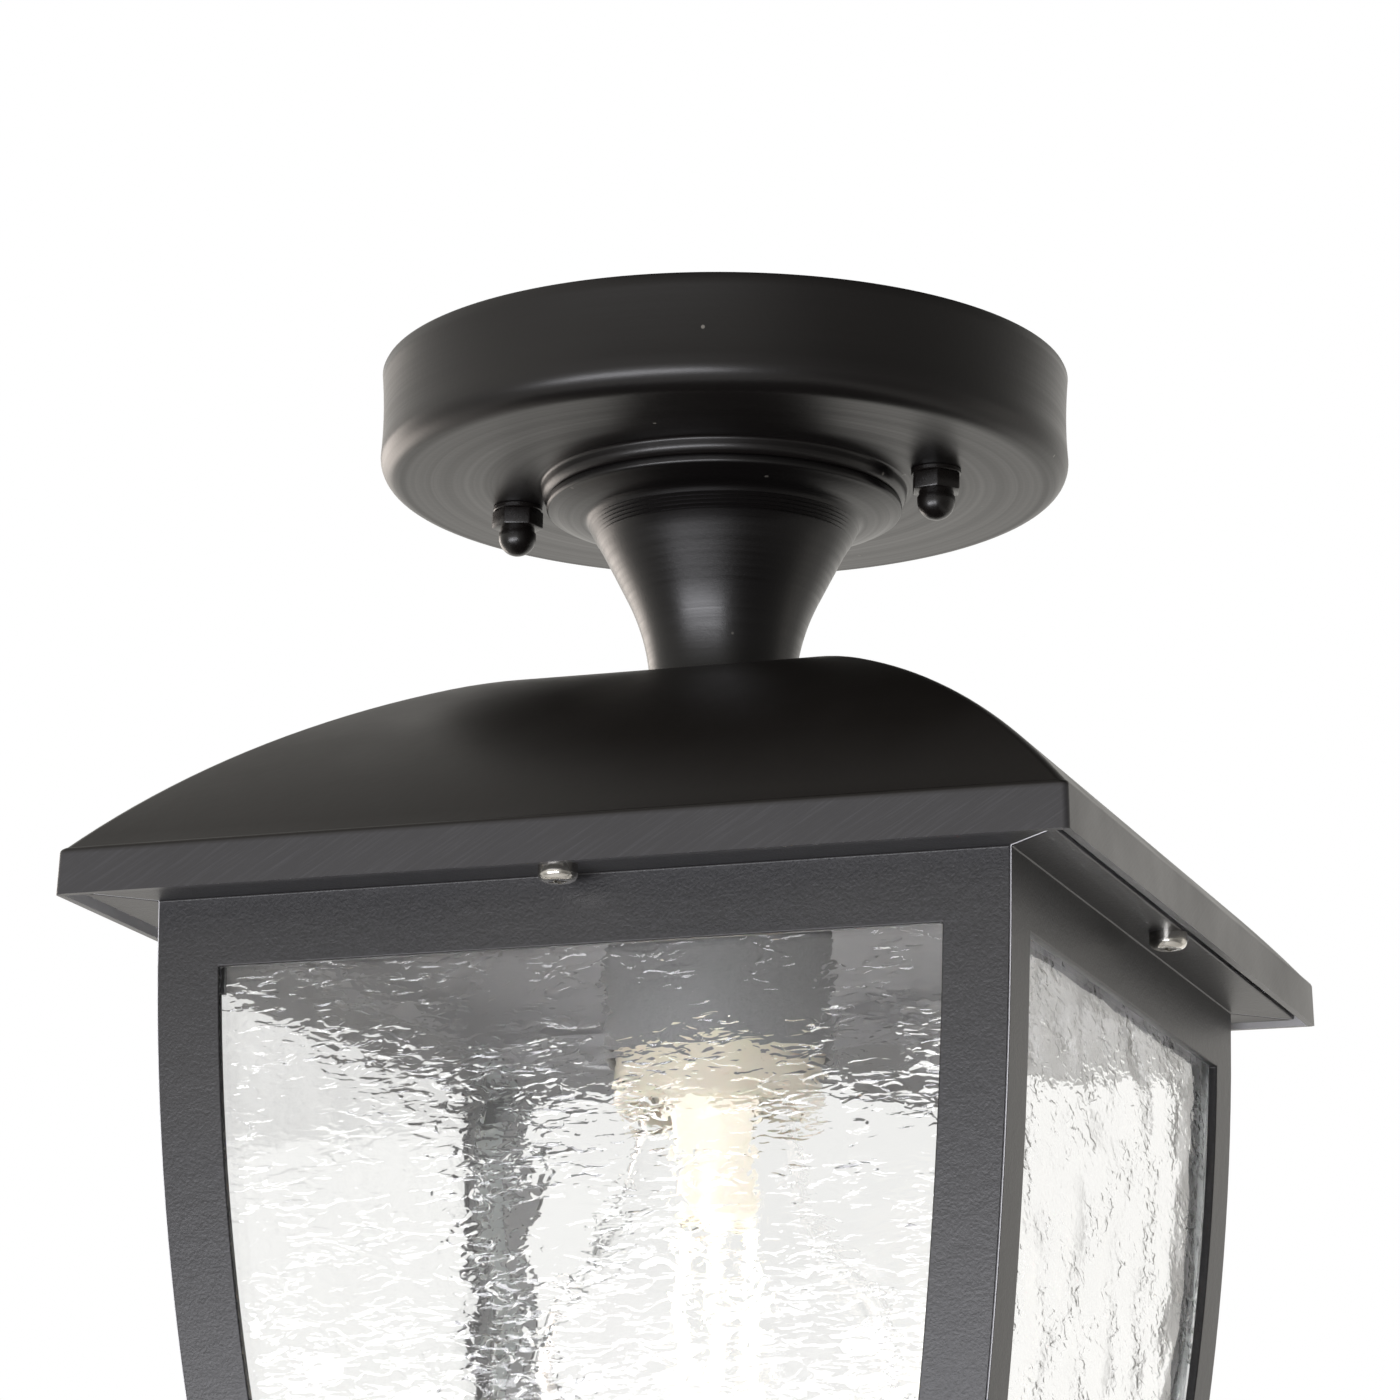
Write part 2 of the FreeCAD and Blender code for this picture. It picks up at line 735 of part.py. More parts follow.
def roof():
    """The roof: an outer dome less an inner one, with the nipple's hole in its crown."""
    skin = doc.addObject("Part::Cut", "RoofSkin")
    skin.Base = dome("roof_outside", as_size(0))
    skin.Tool = dome("roof_inside", D.roof_sheet)
    bore = doc.addObject("Part::Cylinder", "RoofBore")
    bind(bore, Radius=D.nipple_radius + 0.2, Height=D.roof_sheet + 4,
         Placement__Base__z=-(D.crown_drop + D.roof_sheet + 2))
    whole = doc.addObject("Part::Cut", "roof")
    whole.Base = skin
    whole.Tool = bore
    whole.Label = "roof"
    return whole


def screw_tabs():
    """Four tapped angle tabs welded inside the skirt; the cage screws bite in them."""
    body = new_body("screw_tabs")
    low = -D.cage_top_drop + D.frame_sheet
    outer = D.skirt_top_half - D.roof_sheet - 0.05
    inner = outer - D.tab_depth
    flat = new_sketch(body, "XY_Plane", "Shelves", low)
    half = D.tab_width / 2
    draw_loop(flat, [(-half, -outer), (half, -outer), (half, -inner), (-half, -inner)])
    pad(body, flat, D.tab_sheet)
    upright = new_sketch(body, "XY_Plane", "Uprights", low)
    draw_loop(upright, [(-half, -outer), (half, -outer), (half, D.tab_sheet - outer),
                        (-half, D.tab_sheet - outer)])
    pad(body, upright, D.tab_height)
    hole = new_sketch(body, "XY_Plane", "Tapping")
    draw_circle(hole, 0, -D.cage_screw_reach, D.cage_screw_radius + D.fit_gap)
    cut_through(body, hole)
    return repeat_round(body, "screw_tabs")


def repeat_round(body, label):
    """Four of a piece, a quarter turn apart, as one group of separate solids."""
    one = body.Shape.copy()
    body.Label = label + "_one"
    turns = []
    for quarter in range(4):
        turned = one.copy()
        turned.rotate(FreeCAD.Vector(), FreeCAD.Vector(0, 0, 1), 90 * quarter)
        turns.append(turned)
    group = doc.addObject("Part::Feature", label + "_group")
    group.Label = label
    group.Shape = Part.makeCompound(turns)
    return group


# ---------------------------------------------------------------- cage

def cage_arc():
    """Radius of the side's curve: upright at the top, drawn in at the foot."""
    draw_in = D.cage_half - D.cage_bottom_half
    return (D.cage_height * D.cage_height + draw_in * draw_in) / (draw_in * 2)


def side_at(depth, wall=0, inset=0):
    """Half width of the cage at a depth below its top.

    wall is how far inside the face it is, square to the curve; inset is straight inward.
    """
    radius = cage_arc() - wall
    return root(radius * radius - as_size(depth) * depth) - (cage_arc() - D.cage_half) - inset


def side_frame(label, quarter):
    """One side of the cage: a curved face with a window, a top flange and a bottom lip."""
    sheet_wall = D.frame_sheet
    top = -D.cage_top_drop
    foot = top - D.cage_height
    body = new_body(label)
    section = new_sketch(body, "YZ_Plane", "Section")
    arc = cage_arc()
    lip_y = D.bottom_lip - D.cage_bottom_half
    inner_foot = D.cage_height - sheet_wall
    draw_loop(section, [
        (-D.cage_half, top), (-D.flange_half, top), (-D.flange_half, top + sheet_wall),
        (sheet_wall - D.cage_half, top + sheet_wall), (sheet_wall - D.cage_half, top),
        (-side_at(inner_foot, wall=sheet_wall), foot + sheet_wall), (lip_y, foot + sheet_wall),
        (lip_y, foot), (-D.cage_bottom_half, foot)],
        {4: (arc - sheet_wall, 1), 8: (arc, -1)})
    pad(body, section, D.skirt_half * 2, both_ways=True)

    mitre = new_sketch(body, "XY_Plane", "Mitre")
    reach = D.skirt_half + 5
    draw_loop(mitre, [(-reach, -reach - D.mitre_gap * 1.4), (as_size(0), -D.mitre_gap * 1.4),
                      (reach, -reach - D.mitre_gap * 1.4), (reach, as_size(10)),
                      (-reach, as_size(10))])
    cut_through(body, mitre)

    window = new_sketch(body, "XZ_Plane", "Window")
    low_depth = D.cage_height - D.header
    high = side_at(D.header, inset=D.stile)
    low = side_at(low_depth, inset=D.stile)
    draw_loop(window, [(-low, top - low_depth), (low, top - low_depth),
                       (high, top - D.header), (-high, top - D.header)],
              {1: (arc, 1), 3: (arc, 1)})
    cut_through(body, window)

    hole = new_sketch(body, "XY_Plane", "ScrewHole")
    draw_circle(hole, 0, -D.cage_screw_reach, D.cage_screw_hole)
    cut_through(body, hole)
    return place(body, angle=90 * quarter)


def glass_pane(label, quarter):
    """A bent pane of rippled glass that lies just behind its frame."""
    face = D.frame_sheet + D.glass_gap
    back = face + D.glass_thick
    top_depth = D.glass_top_margin
    low_depth = D.cage_height - D.glass_bottom_margin
    top = -D.cage_top_drop
    arc = cage_arc()
    body = new_body(label)
    section = new_sketch(body, "YZ_Plane", "Section")
    draw_loop(section, [
        (-side_at(top_depth, wall=face), top - top_depth),
        (-side_at(low_depth, wall=face), top - low_depth),
        (-side_at(low_depth, wall=back), top - low_depth),
        (-side_at(top_depth, wall=back), top - top_depth)],
        {0: (arc - face, 1), 2: (arc - back, -1)})
    pad(body, section, D.skirt_half * 2, both_ways=True)

    outside = new_sketch(body, "XZ_Plane", "Outline")
    reach = D.skirt_half + 5
    draw_loop(outside, [(-reach, top - D.cage_height - 5), (reach, top - D.cage_height - 5),
                        (reach, top + 5), (-reach, top + 5)])
    high = side_at(top_depth - 1, inset=D.glass_inset)
    low = side_at(low_depth + 1, inset=D.glass_inset)
    draw_loop(outside, [(-low, top - low_depth - 1), (low, top - low_depth - 1),
                        (high, top - top_depth + 1), (-high, top - top_depth + 1)],
              {1: (arc, 1), 3: (arc, 1)})
    cut_through(body, outside)
    return place(body, angle=90 * quarter)


def cage_core(label, wall, top_depth, low_depth):
    """The space inside the cage at some distance behind its faces, as two crossed barrels."""
    top = -D.cage_top_drop
    arc = cage_arc() - wall
    high = side_at(top_depth, wall=wall)
    low = side_at(low_depth, wall=wall)
    corners = [(-low, top - low_depth), (low, top - low_depth), (high, top - top_depth),
               (-high, top - top_depth)]
    arcs = {1: (arc, 1), 3: (arc, 1)}
    body = new_body(label)
    section = new_sketch(body, "XZ_Plane", "Section")
    draw_loop(section, corners, arcs)
    pad(body, section, D.skirt_half * 2, both_ways=True)
    outside = new_sketch(body, "YZ_Plane", "CrossSection")
    reach = D.skirt_half + 5
    draw_loop(outside, [(-reach, top - D.cage_height - 5), (reach, top - D.cage_height - 5),
                        (reach, top + 5), (-reach, top + 5)])
    draw_loop(outside, corners, arcs)
    cut_through(body, outside)
    return body


def corner_angles():
    """Four curved angle strips, welded inside the corners, that join the side frames."""
    wall = D.frame_sheet
    top_depth = as_size(1.0)
    low_depth = D.cage_height - D.frame_sheet - 0.5
    corner = cage_core("corner_columns", wall, top_depth, low_depth)
    top = -D.cage_top_drop
    arc = cage_arc()
    high = side_at(top_depth - 0.5, inset=D.frame_sheet + D.angle_leg)
    low = side_at(low_depth + 0.3, inset=D.frame_sheet + D.angle_leg)
    for role in ("XZ_Plane", "YZ_Plane"):
        middle = new_sketch(corner, role, "Middle")
        draw_loop(middle, [(-low, top - low_depth - 0.3), (low, top - low_depth - 0.3),
                           (high, top - top_depth + 0.5), (-high, top - top_depth + 0.5)],
                  {1: (arc, 1), 3: (arc, 1)})
        cut_through(corner, middle)
    angles = doc.addObject("Part::Cut", "corner_angles")
    angles.Base = corner
    angles.Tool = cage_core("corner_hollow", wall + D.angle_sheet, top_depth - 0.5,
                            low_depth + 0.3)
    angles.Label = "corner_angles"
    return angles


def cage_screws():
    """Four bright pan-head screws, one in the middle of each flange."""
    reach = D.cage_screw_reach
    places = [(as_size(0), -reach), (reach, as_size(0)), (as_size(0), reach),
              (-reach, as_size(0))]
    low = -D.cage_top_drop - D.cage_head_height
    body = columns("cage_screws", places, [
        (D.cage_screw_radius, -D.cage_top_drop,
         D.frame_sheet + D.tab_sheet + D.cage_screw_end_reach),
        (D.cage_head_radius, low, D.cage_head_height)])
    round_edges(body, D.cage_head_round, lambda edge: flat_at(edge, low.number))
    cut_cross(body, low, places, 1.5, 0.35, 1.2)
    return body


def glass_clips():
    """Sixteen spring clips on the corner angles, whose fingers press the glass."""
    seat = D.frame_sheet + D.angle_sheet + 0.02
    finger = D.frame_sheet + D.glass_gap + D.glass_thick + 0.1
    sheet_thick = D.clip_sheet
    base_end = D.clip_base_end
    foot = D.clip_foot_reach
    finger_end = D.clip_finger_end
    one = new_body("clip_one")
    sketch = new_sketch(one, "XY_Plane", "Step", -D.clip_height / 2)
    draw_loop(sketch, [
        (-base_end, seat), (-foot, seat), (-foot, finger), (-finger_end, finger),
        (-finger_end, finger + sheet_thick), (sheet_thick - foot, finger + sheet_thick),
        (sheet_thick - foot, seat + sheet_thick), (-base_end, seat + sheet_thick)])
    pad(one, sketch, D.clip_height)
    shape = one.Shape
    arc = cage_arc().number
    clips = []
    for depth in (D.upper_clip_depth.number, D.lower_clip_depth.number):
        slope = math.asin(depth / arc)
        half = side_at(depth).number
        lean = FreeCAD.Placement(
            FreeCAD.Vector(half, -half, -D.cage_top_drop.number - depth),
            FreeCAD.Rotation(FreeCAD.Vector(1, 0, 0), math.degrees(slope)))
        right = shape.copy()
        right.Placement = lean
        left = right.mirror(FreeCAD.Vector(), FreeCAD.Vector(1, 0, 0))
        for clip in (right, left):
            for quarter in range(4):
                turned = clip.copy()
                turned.rotate(FreeCAD.Vector(), FreeCAD.Vector(0, 0, 1), 90 * quarter)
                clips.append(turned)
    group = doc.addObject("Part::Feature", "glass_clips")
    group.Label = "glass_clips"
    group.Shape = Part.makeCompound(clips)
    return group


# ---------------------------------------------------------------- lampholder

def lampholder_cup():
    """The black steel cup round the top of the lampholder."""
    sheet_thick = D.cup_sheet
    top = -D.cup_top_drop
    bore = D.nipple_radius + 0.2
    body = lathe("lampholder_cup", [
        (bore, top - sheet_thick), (D.cup_radius - D.cup_round, top - sheet_thick),
        (D.cup_radius - sheet_thick, top - D.cup_round), (D.cup_radius - sheet_thick, -D.cup_rim_drop),
        (D.cup_radius, -D.cup_rim_drop), (D.cup_radius, top - D.cup_round),
        (D.cup_radius - D.cup_round, top), (bore, top)],
        {1: (D.cup_round - sheet_thick, -1), 5: (D.cup_round, 1)})
    holes = new_sketch(body, "XY_Plane", "ScrewHoles")
    for side in (-1, 1):
        draw_circle(holes, D.holder_boss_reach * side, 0, D.cup_hole_radius)
    cut_through(body, holes)
    return body


def lampholder():
    """The glazed ceramic lampholder, with two bosses that meet the cup."""
    top = -D.holder_top_drop
    web = top - D.holder_web
    rim = -D.holder_rim_drop
    edge = D.holder_rim_round
    body = lathe("lampholder", [
        (as_size(0), web), (D.holder_bore, web), (D.holder_bore, rim),
        (D.holder_radius - edge, rim), (D.holder_radius, rim + edge), (D.holder_radius, top),
        (as_size(0), top)], {3: (edge, 1)})
    bosses = new_sketch(body, "XY_Plane", "Bosses", top)
    for side in (-1, 1):
        draw_circle(bosses, D.holder_boss_reach * side, 0, D.holder_boss_radius)
    pad(body, bosses, D.holder_top_drop - D.cup_top_drop - D.cup_sheet)
    holes = new_sketch(body, "XY_Plane", "ScrewHoles", cup_inside)
    for side in (-1, 1):
        draw_circle(holes, D.holder_boss_reach * side, 0, D.holder_hole_radius)
    cut_down(body, holes, D.holder_top_drop - D.cup_top_drop - D.cup_sheet + 3)
    return body


def holder_screws():
    """Two screws that hold the lampholder up in its cup."""
    top = -D.cup_top_drop
    reach = D.holder_boss_reach
    body = columns("holder_screws", [(-reach, 0), (reach, 0)], [
        (D.holder_screw_radius, -(D.holder_top_drop + D.holder_screw_grip),
         D.holder_top_drop + D.holder_screw_grip - D.cup_top_drop),
        (D.holder_head_radius, top, D.holder_head_height)])
    round_edges(body, 1.0, lambda edge: flat_at(edge, (top + D.holder_head_height).number))
    return body


def screw_shell():
    """The metal shell that the lamp screws into."""
    top = -(D.holder_top_drop + D.holder_web)
    inner = D.shell_radius
    outer = inner + D.shell_sheet
    rim = D.shell_rim_inset - D.holder_rim_drop
    window = D.shell_window_radius
    return lathe("screw_shell", [
        (inner, rim), (outer, rim), (outer, top), (window, top), (window, top - D.shell_sheet),
        (inner, top - D.shell_sheet)])


def centre_contact():
    """The spring tongue that presses on the lamp's tip."""
    top = -(D.holder_top_drop + D.holder_web)
    tip = -D.contact_tip_drop
    strip = D.contact_strip
    body = new_body("centre_contact")
    sketch = new_sketch(body, "XZ_Plane", "Tongue")
    draw_loop(sketch, [
        (as_size(-6), top), (as_size(-6), top - strip), (as_size(-4.5), top - strip),
        (as_size(-2.5), tip), (as_size(2.5), tip), (as_size(2.5), tip + strip),
        (as_size(-2.2), tip + strip), (as_size(-4.1), top)])
    pad(body, sketch, D.contact_width, both_ways=True)
    return body


def lead_route(side):
    """A lead's way from its terminal, up the nipple and out under the box strap."""
    terminal = -D.holder_top_drop.number
    return [
        (0.0, 5.6 * side, terminal),
        (0.0, 5.6 * side, terminal + 2.4),
        (0.0, 1.8 * side, terminal + 6.4),
        (0.4 * side, 1.5 * side, -48.0),
        (0.0, 1.8 * side, -9.6),
        (1.5 * side, 16.4 * side, -10.4),
        (3.5 * side, 28.0 * side, -12.2),
        (-3.5 * side, 38.0 * side, -13.6),
    ]


def bent_wire(points, radius):
    """A round wire along straight runs joined by tangent arcs, as one solid."""
    vectors = [FreeCAD.Vector(*point) for point in points]
    edges = []
    radii = []
    start = vectors[0]
    for before, corner, after in zip(vectors, vectors[1:], vectors[2:]):
        run_in = corner - before
        run_out = after - corner
        turn = run_in.getAngle(run_out)
        trim = 0.45 * min(run_in.Length, run_out.Length)
        way_in = FreeCAD.Vector(run_in).normalize()
        way_out = FreeCAD.Vector(run_out).normalize()
        enter = corner - way_in * trim
        leave = corner + way_out * trim
        bend = trim / math.tan(turn / 2)
        radii.append(round(bend, 2))
        middle_way = FreeCAD.Vector(way_out - way_in).normalize()
        middle = corner + middle_way * (bend / math.cos(turn / 2) - bend)
        edges.append(Part.LineSegment(start, enter).toShape())
        edges.append(Part.Arc(enter, middle, leave).toShape())
        start = leave
    edges.append(Part.LineSegment(start, vectors[-1]).toShape())
    path = Part.Wire(edges)
    ring = Part.Wire([Part.Circle(vectors[0], vectors[1] - vectors[0], radius).toShape()])
    solid = path.makePipeShell([ring], True, False)
    wanted = math.pi * radius * radius * path.Length
    print("wire length %.1f mm, volume %.4f of its section times length, bend radii %s"
          % (path.Length, solid.Volume / wanted, radii))
    return solid


def lead(label, side):
    """One sleeved lead, set as a shape because its route bends in space."""
    feature = doc.addObject("Part::Feature", label)
    feature.Label = label
    feature.Shape = bent_wire(lead_route(side), D.lead_radius.number)
    return feature


def lead_tips():
    """The stripped copper ends of both leads."""
    tips = []
    for side in (1, -1):
        route = [FreeCAD.Vector(*point) for point in lead_route(side)]
        tips.append(Part.makeCylinder(D.lead_core_radius.number, D.lead_bare_length.number,
                                      route[-1], route[-1] - route[-2]))
    feature = doc.addObject("Part::Feature", "lead_tips")
    feature.Label = "lead_tips"
    feature.Shape = Part.makeCompound(tips)
    return feature


# ---------------------------------------------------------------- lamp

def lamp_cap():
    """The lamp's screw cap, a thin nickelled shell drawn in at its top."""
    rim = -D.lamp_rim_drop
    outer = D.lamp_cap_radius
    inner = outer - D.lamp_cap_sheet
    shoulder = -(D.lamp_top_drop + D.lamp_shoulder_drop)
    crown = -(D.lamp_top_drop + D.lamp_crown_drop)
    return lathe("lamp_cap", [
        (inner, rim), (outer, rim), (outer, shoulder), (D.lamp_crown_radius, crown),
        (D.lamp_crown_radius - 0.4, crown - 0.2), (inner, shoulder - 0.2)])


def lamp_insulator():
    """The dark glass ring between the cap and its centre contact."""
    top = -(D.lamp_top_drop + D.lamp_pip_height)
    low = -(D.lamp_top_drop + D.lamp_crown_drop)
    return lathe("lamp_insulator", [
        (as_size(0), low - 0.2), (D.lamp_crown_radius - 0.4, low - 0.2),
        (D.lamp_crown_radius, low), (D.lamp_pip_radius + 0.8, top), (as_size(0), top)])


def lamp_contact():
    """The solder pip at the lamp's top, plain round, so that it also rides the thread."""
    top = -D.lamp_top_drop
    edge = D.lamp_pip_bevel
    low = top - D.lamp_pip_height
    return lathe("lamp_contact", [
        (as_size(0), low), (D.lamp_pip_radius, low), (D.lamp_pip_radius, top - edge),
        (D.lamp_pip_radius - edge, top), (as_size(0), top)])


def bulb_neck_arc():
    """The hollow arc of the bulb's shoulder: upright at the neck, tangent to the round."""
    neck = D.bulb_neck_radius
    rise = D.bulb_centre_drop - D.bulb_neck_drop
    ball = D.bulb_radius
    return (neck * neck + rise * rise - ball * ball) / ((ball - neck) * 2)


def lamp_envelope():
    """The clear bulb, its neck standing in the cap."""
    wall = D.bulb_wall
    ball = D.bulb_radius
    neck = D.bulb_neck_radius
    arc = bulb_neck_arc()
    centre = -D.bulb_centre_drop
    rise = D.bulb_centre_drop - D.bulb_neck_drop
    share = ball / (ball + arc)
    join_x = (neck + arc) * share
    join_z = centre + rise * share
    inner_share = (ball - wall) / (ball + arc)
    inner_x = (neck + arc) * inner_share
    inner_z = centre + rise * inner_share
    cap_inner = D.lamp_cap_radius - D.lamp_cap_sheet - 0.1
    inside_cap = -D.lamp_rim_drop + 6
    below_cap = -D.lamp_rim_drop - 0.1
    neck_z = -D.bulb_neck_drop
    return lathe("lamp_envelope", [
        (as_size(0), centre - ball), (ball, centre), (join_x, join_z), (neck, neck_z),
        (cap_inner, below_cap), (cap_inner, inside_cap), (cap_inner - wall, inside_cap),
        (neck - wall, neck_z), (inner_x, inner_z), (ball - wall, centre),
        (as_size(0), centre - ball + wall)],
        {0: (ball, 1), 1: (ball, 1), 2: (arc, -1), 7: (arc + wall, 1), 8: (ball - wall, -1),
         9: (ball - wall, -1)})


def lamp_stem():
    """The glass mount inside the neck, with the post that carries the filaments."""
    flare = D.lamp_cap_radius - D.lamp_cap_sheet - D.bulb_wall - 0.2
    top = -D.lamp_rim_drop + 4
    waist = -D.lamp_rim_drop - 5
    end = -D.stem_end_drop
    return lathe("lamp_stem", [
        (as_size(0), -D.post_end_drop), (D.post_radius, -D.post_end_drop),
        (D.post_radius, end - 2), (D.stem_radius - 1.5, end), (D.stem_radius, end + 1.5),
        (D.stem_radius, waist), (flare, top), (as_size(0), top)],
        {5: (D.stem_flare_round, -1)})


def filament_places():
    turn = D.filament_turn.number
    places = []
    for number in range(4):
        angle = math.radians(turn + 90 * number)
        places.append((D.filament_reach * math.cos(angle), D.filament_reach * math.sin(angle)))
    return places


def lamp_filaments():
    """Four upright coated filament sticks."""
    return columns("lamp_filaments", filament_places(), [
        (D.filament_radius, -(D.filament_top_drop + D.filament_length), D.filament_length)])


def filament_supports():
    """Fine straight wires from the stem and the post to the ends of the filaments."""
    thin = D.support_radius.number
    stem_low = -D.stem_end_drop.number
    filament_top = -D.filament_top_drop.number
    filament_low = filament_top - D.filament_length.number
    runs = (
        (D.stem_radius.number - 2.6, stem_low - 1.0, filament_top + 0.45),
        (D.post_radius.number, filament_low - 1.2, filament_low - 0.5),
    )
    wires = []
    for x, y in filament_places():
        tip = FreeCAD.Vector(x.number, y.number, 0)
        outward = FreeCAD.Vector(tip).normalize()
        for inner, inner_level, tip_level in runs:
            start = outward * inner + FreeCAD.Vector(0, 0, inner_level)
            way = tip + FreeCAD.Vector(0, 0, tip_level) - start
            wires.append(Part.makeCylinder(thin, way.Length, start, way))
    feature = doc.addObject("Part::Feature", "filament_supports")
    feature.Label = "filament_supports"
    feature.Shape = Part.makeCompound(wires)
    return feature


# ---------------------------------------------------------------- assembly

parts = [
    box_strap(),
    swivel_eyelet(),
    stud_strap(),
    canopy_studs(),
    strap_lock_nuts(),
    ground_screw(),
    canopy(),
    stud_washer("left_washer", -1),
    stud_washer("right_washer", 1),
    cap_nut("left_cap_nut", -1, -71),
    cap_nut("right_cap_nut", 1, -41),
    neck(),
    nipple(),
    nipple_washer("canopy_washer", canopy_inside + D.nipple_washer_thick),
    nipple_nut("canopy_nipple_nut", canopy_inside + D.nipple_washer_thick + D.nipple_nut_height,
               D.nipple_nut_flats),
    nipple_washer("roof_washer", roof_inside),
    nipple_nut("roof_nipple_nut", roof_inside - D.nipple_washer_thick, D.nipple_nut_flats),
    roof(),
    screw_tabs(),
    cage_screws(),
    corner_angles(),
    glass_clips(),
    lampholder_cup(),
    nipple_nut("cup_upper_nut", -D.cup_top_drop + D.nipple_nut_height, D.cup_nut_flats),
    nipple_nut("cup_lower_nut", cup_inside, D.cup_nut_flats),
    lampholder(),
    holder_screws(),
    screw_shell(),
    centre_contact(),
    lead("line_lead", 1),
    lead("neutral_lead", -1),
    lead_tips(),
    lamp_cap(),
    lamp_insulator(),
    lamp_contact(),
    lamp_envelope(),
    lamp_stem(),
    lamp_filaments(),
    filament_supports(),
]
for quarter, side_name in enumerate(("front", "right", "back", "left")):
    parts.append(side_frame(side_name + "_frame", quarter))
    parts.append(glass_pane(side_name + "_glass", quarter))

doc.recompute()

for item in doc.Objects:
    if "Invalid" in item.State or "Error" in item.State:
        raise ValueError("%s is %s" % (item.Label, item.State))

os.makedirs("parts", exist_ok=True)
for part in parts:
    if part.Shape.isNull() or not part.Shape.isValid():
        raise ValueError("%s has no valid shape" % part.Label)
    box = part.Shape.BoundBox
    print("%-20s solids %2d  volume %10.1f  x %7.2f..%7.2f  y %7.2f..%7.2f  z %8.2f..%8.2f" % (
        part.Label, len(part.Shape.Solids), part.Shape.Volume, box.XMin, box.XMax,
        box.YMin, box.YMax, box.ZMin, box.ZMax))
    part.Shape.exportStep("parts/%s.step" % part.Label)
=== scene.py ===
# %% [markdown]
# # A porch ceiling lantern, finished in Blender
#
# The lantern hangs from a round ceiling canopy. A turned neck carries a square pressed roof,
# and four curved side frames with rippled glass hang under it round a clear filament lamp.
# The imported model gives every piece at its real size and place, so nothing here is fitted:
# this file only makes finer meshes where the eye wants them, and the surfaces of all of them.

# %% Load the fixed frame
import math

import bmesh
import bpy
from mathutils import Matrix, Vector, noise


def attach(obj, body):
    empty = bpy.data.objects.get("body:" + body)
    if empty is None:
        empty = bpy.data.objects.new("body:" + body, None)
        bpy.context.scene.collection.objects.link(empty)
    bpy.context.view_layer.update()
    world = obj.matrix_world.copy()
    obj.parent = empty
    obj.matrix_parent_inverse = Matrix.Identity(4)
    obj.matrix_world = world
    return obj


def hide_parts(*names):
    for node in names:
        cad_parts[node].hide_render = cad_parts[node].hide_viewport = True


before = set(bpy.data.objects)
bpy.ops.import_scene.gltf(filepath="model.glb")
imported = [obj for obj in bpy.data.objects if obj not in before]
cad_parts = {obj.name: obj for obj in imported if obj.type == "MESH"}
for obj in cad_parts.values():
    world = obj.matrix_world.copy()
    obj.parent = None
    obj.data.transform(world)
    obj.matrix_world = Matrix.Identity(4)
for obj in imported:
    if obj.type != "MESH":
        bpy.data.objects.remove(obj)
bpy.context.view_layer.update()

# %% [markdown]
# ## Units and small helpers
#
# The maker's drawings are in millimetres and Blender works in metres, so one factor turns the
# first into the second. Colours are picked as sRGB hex values, the way a paint card or an
# image program shows them, and Blender's shaders want linear light, so one function turns them.

# %% Units and colours
MM = 0.001


def linear(hex_colour):
    """A colour such as "#c8c8c0" as linear red, green, blue and alpha."""
    values = []
    for start in (1, 3, 5):
        value = int(hex_colour[start:start + 2], 16) / 255
        values.append(value / 12.92 if value <= 0.04045 else ((value + 0.055) / 1.055) ** 2.4)
    return (*values, 1.0)


print("mid grey #808080 in linear light:", round(linear("#808080")[0], 3))

# %% [markdown]
# ## How a material is put together
#
# A material is a small network of nodes. One function adds a node, sets it and links it, which
# keeps each recipe below short enough to read as a list of what the eye sees. Patterns read
# Object coordinates, which are metres here, so a pattern's scale is one over its real size.

# %% Node helpers
def add_node(tree, kind, inputs=None, **settings):
    """Adds a node; inputs are numbers, colours or other nodes' sockets."""
    node = tree.nodes.new(kind)
    for name, value in settings.items():
        setattr(node, name, value)
    for socket, value in (inputs or {}).items():
        if isinstance(value, bpy.types.NodeSocket):
            tree.links.new(value, node.inputs[socket])
        else:
            node.inputs[socket].default_value = value
    return node


def new_material(name, **shader):
    """A material with one Principled shader, whose sockets are set here."""
    material = bpy.data.materials.new(name)
    material.use_nodes = True
    tree = material.node_tree
    tree.nodes.clear()
    inputs = {key.replace("_", " "): value for key, value in shader.items()}
    surface = add_node(tree, "ShaderNodeBsdfPrincipled", inputs)
    add_node(tree, "ShaderNodeOutputMaterial", {"Surface": surface.outputs["BSDF"]})
    return material, tree, surface


def place_in_metres(tree):
    """A point's own place on the piece, in metres."""
    return add_node(tree, "ShaderNodeTexCoord").outputs["Object"]


def ramp_between(tree, factor, low, high, from_value, to_value):
    """A number that goes from from_value to to_value as the factor goes from low to high."""
    return add_node(tree, "ShaderNodeMapRange", {
        "Value": factor, "From Min": low, "From Max": high,
        "To Min": from_value, "To Max": to_value}).outputs["Result"]


def mix_colour(tree, factor, first, second):
    """A colour that goes from the first to the second as the factor goes from 0 to 1."""
    node = add_node(tree, "ShaderNodeMix", data_type="RGBA")
    for socket, value in (("Factor_Float", factor), ("A_Color", first), ("B_Color", second)):
        target = next(item for item in node.inputs if item.identifier == socket)
        if isinstance(value, bpy.types.NodeSocket):
            tree.links.new(value, target)
        else:
            target.default_value = value
    return next(item for item in node.outputs if item.identifier == "Result_Color")


def raise_surface(tree, surface, height, depth_mm, strength=1.0, before=None):
    """Bumps the surface by a height pattern of that many millimetres."""
    inputs = {"Height": height, "Distance": depth_mm * MM, "Strength": strength}
    if before is not None:
        inputs["Normal"] = before
    bump = add_node(tree, "ShaderNodeBump", inputs)
    tree.links.new(bump.outputs["Normal"], surface.inputs["Normal"])
    return bump.outputs["Normal"]


print("a pattern 1 mm across has a scale of", round(1 / MM))

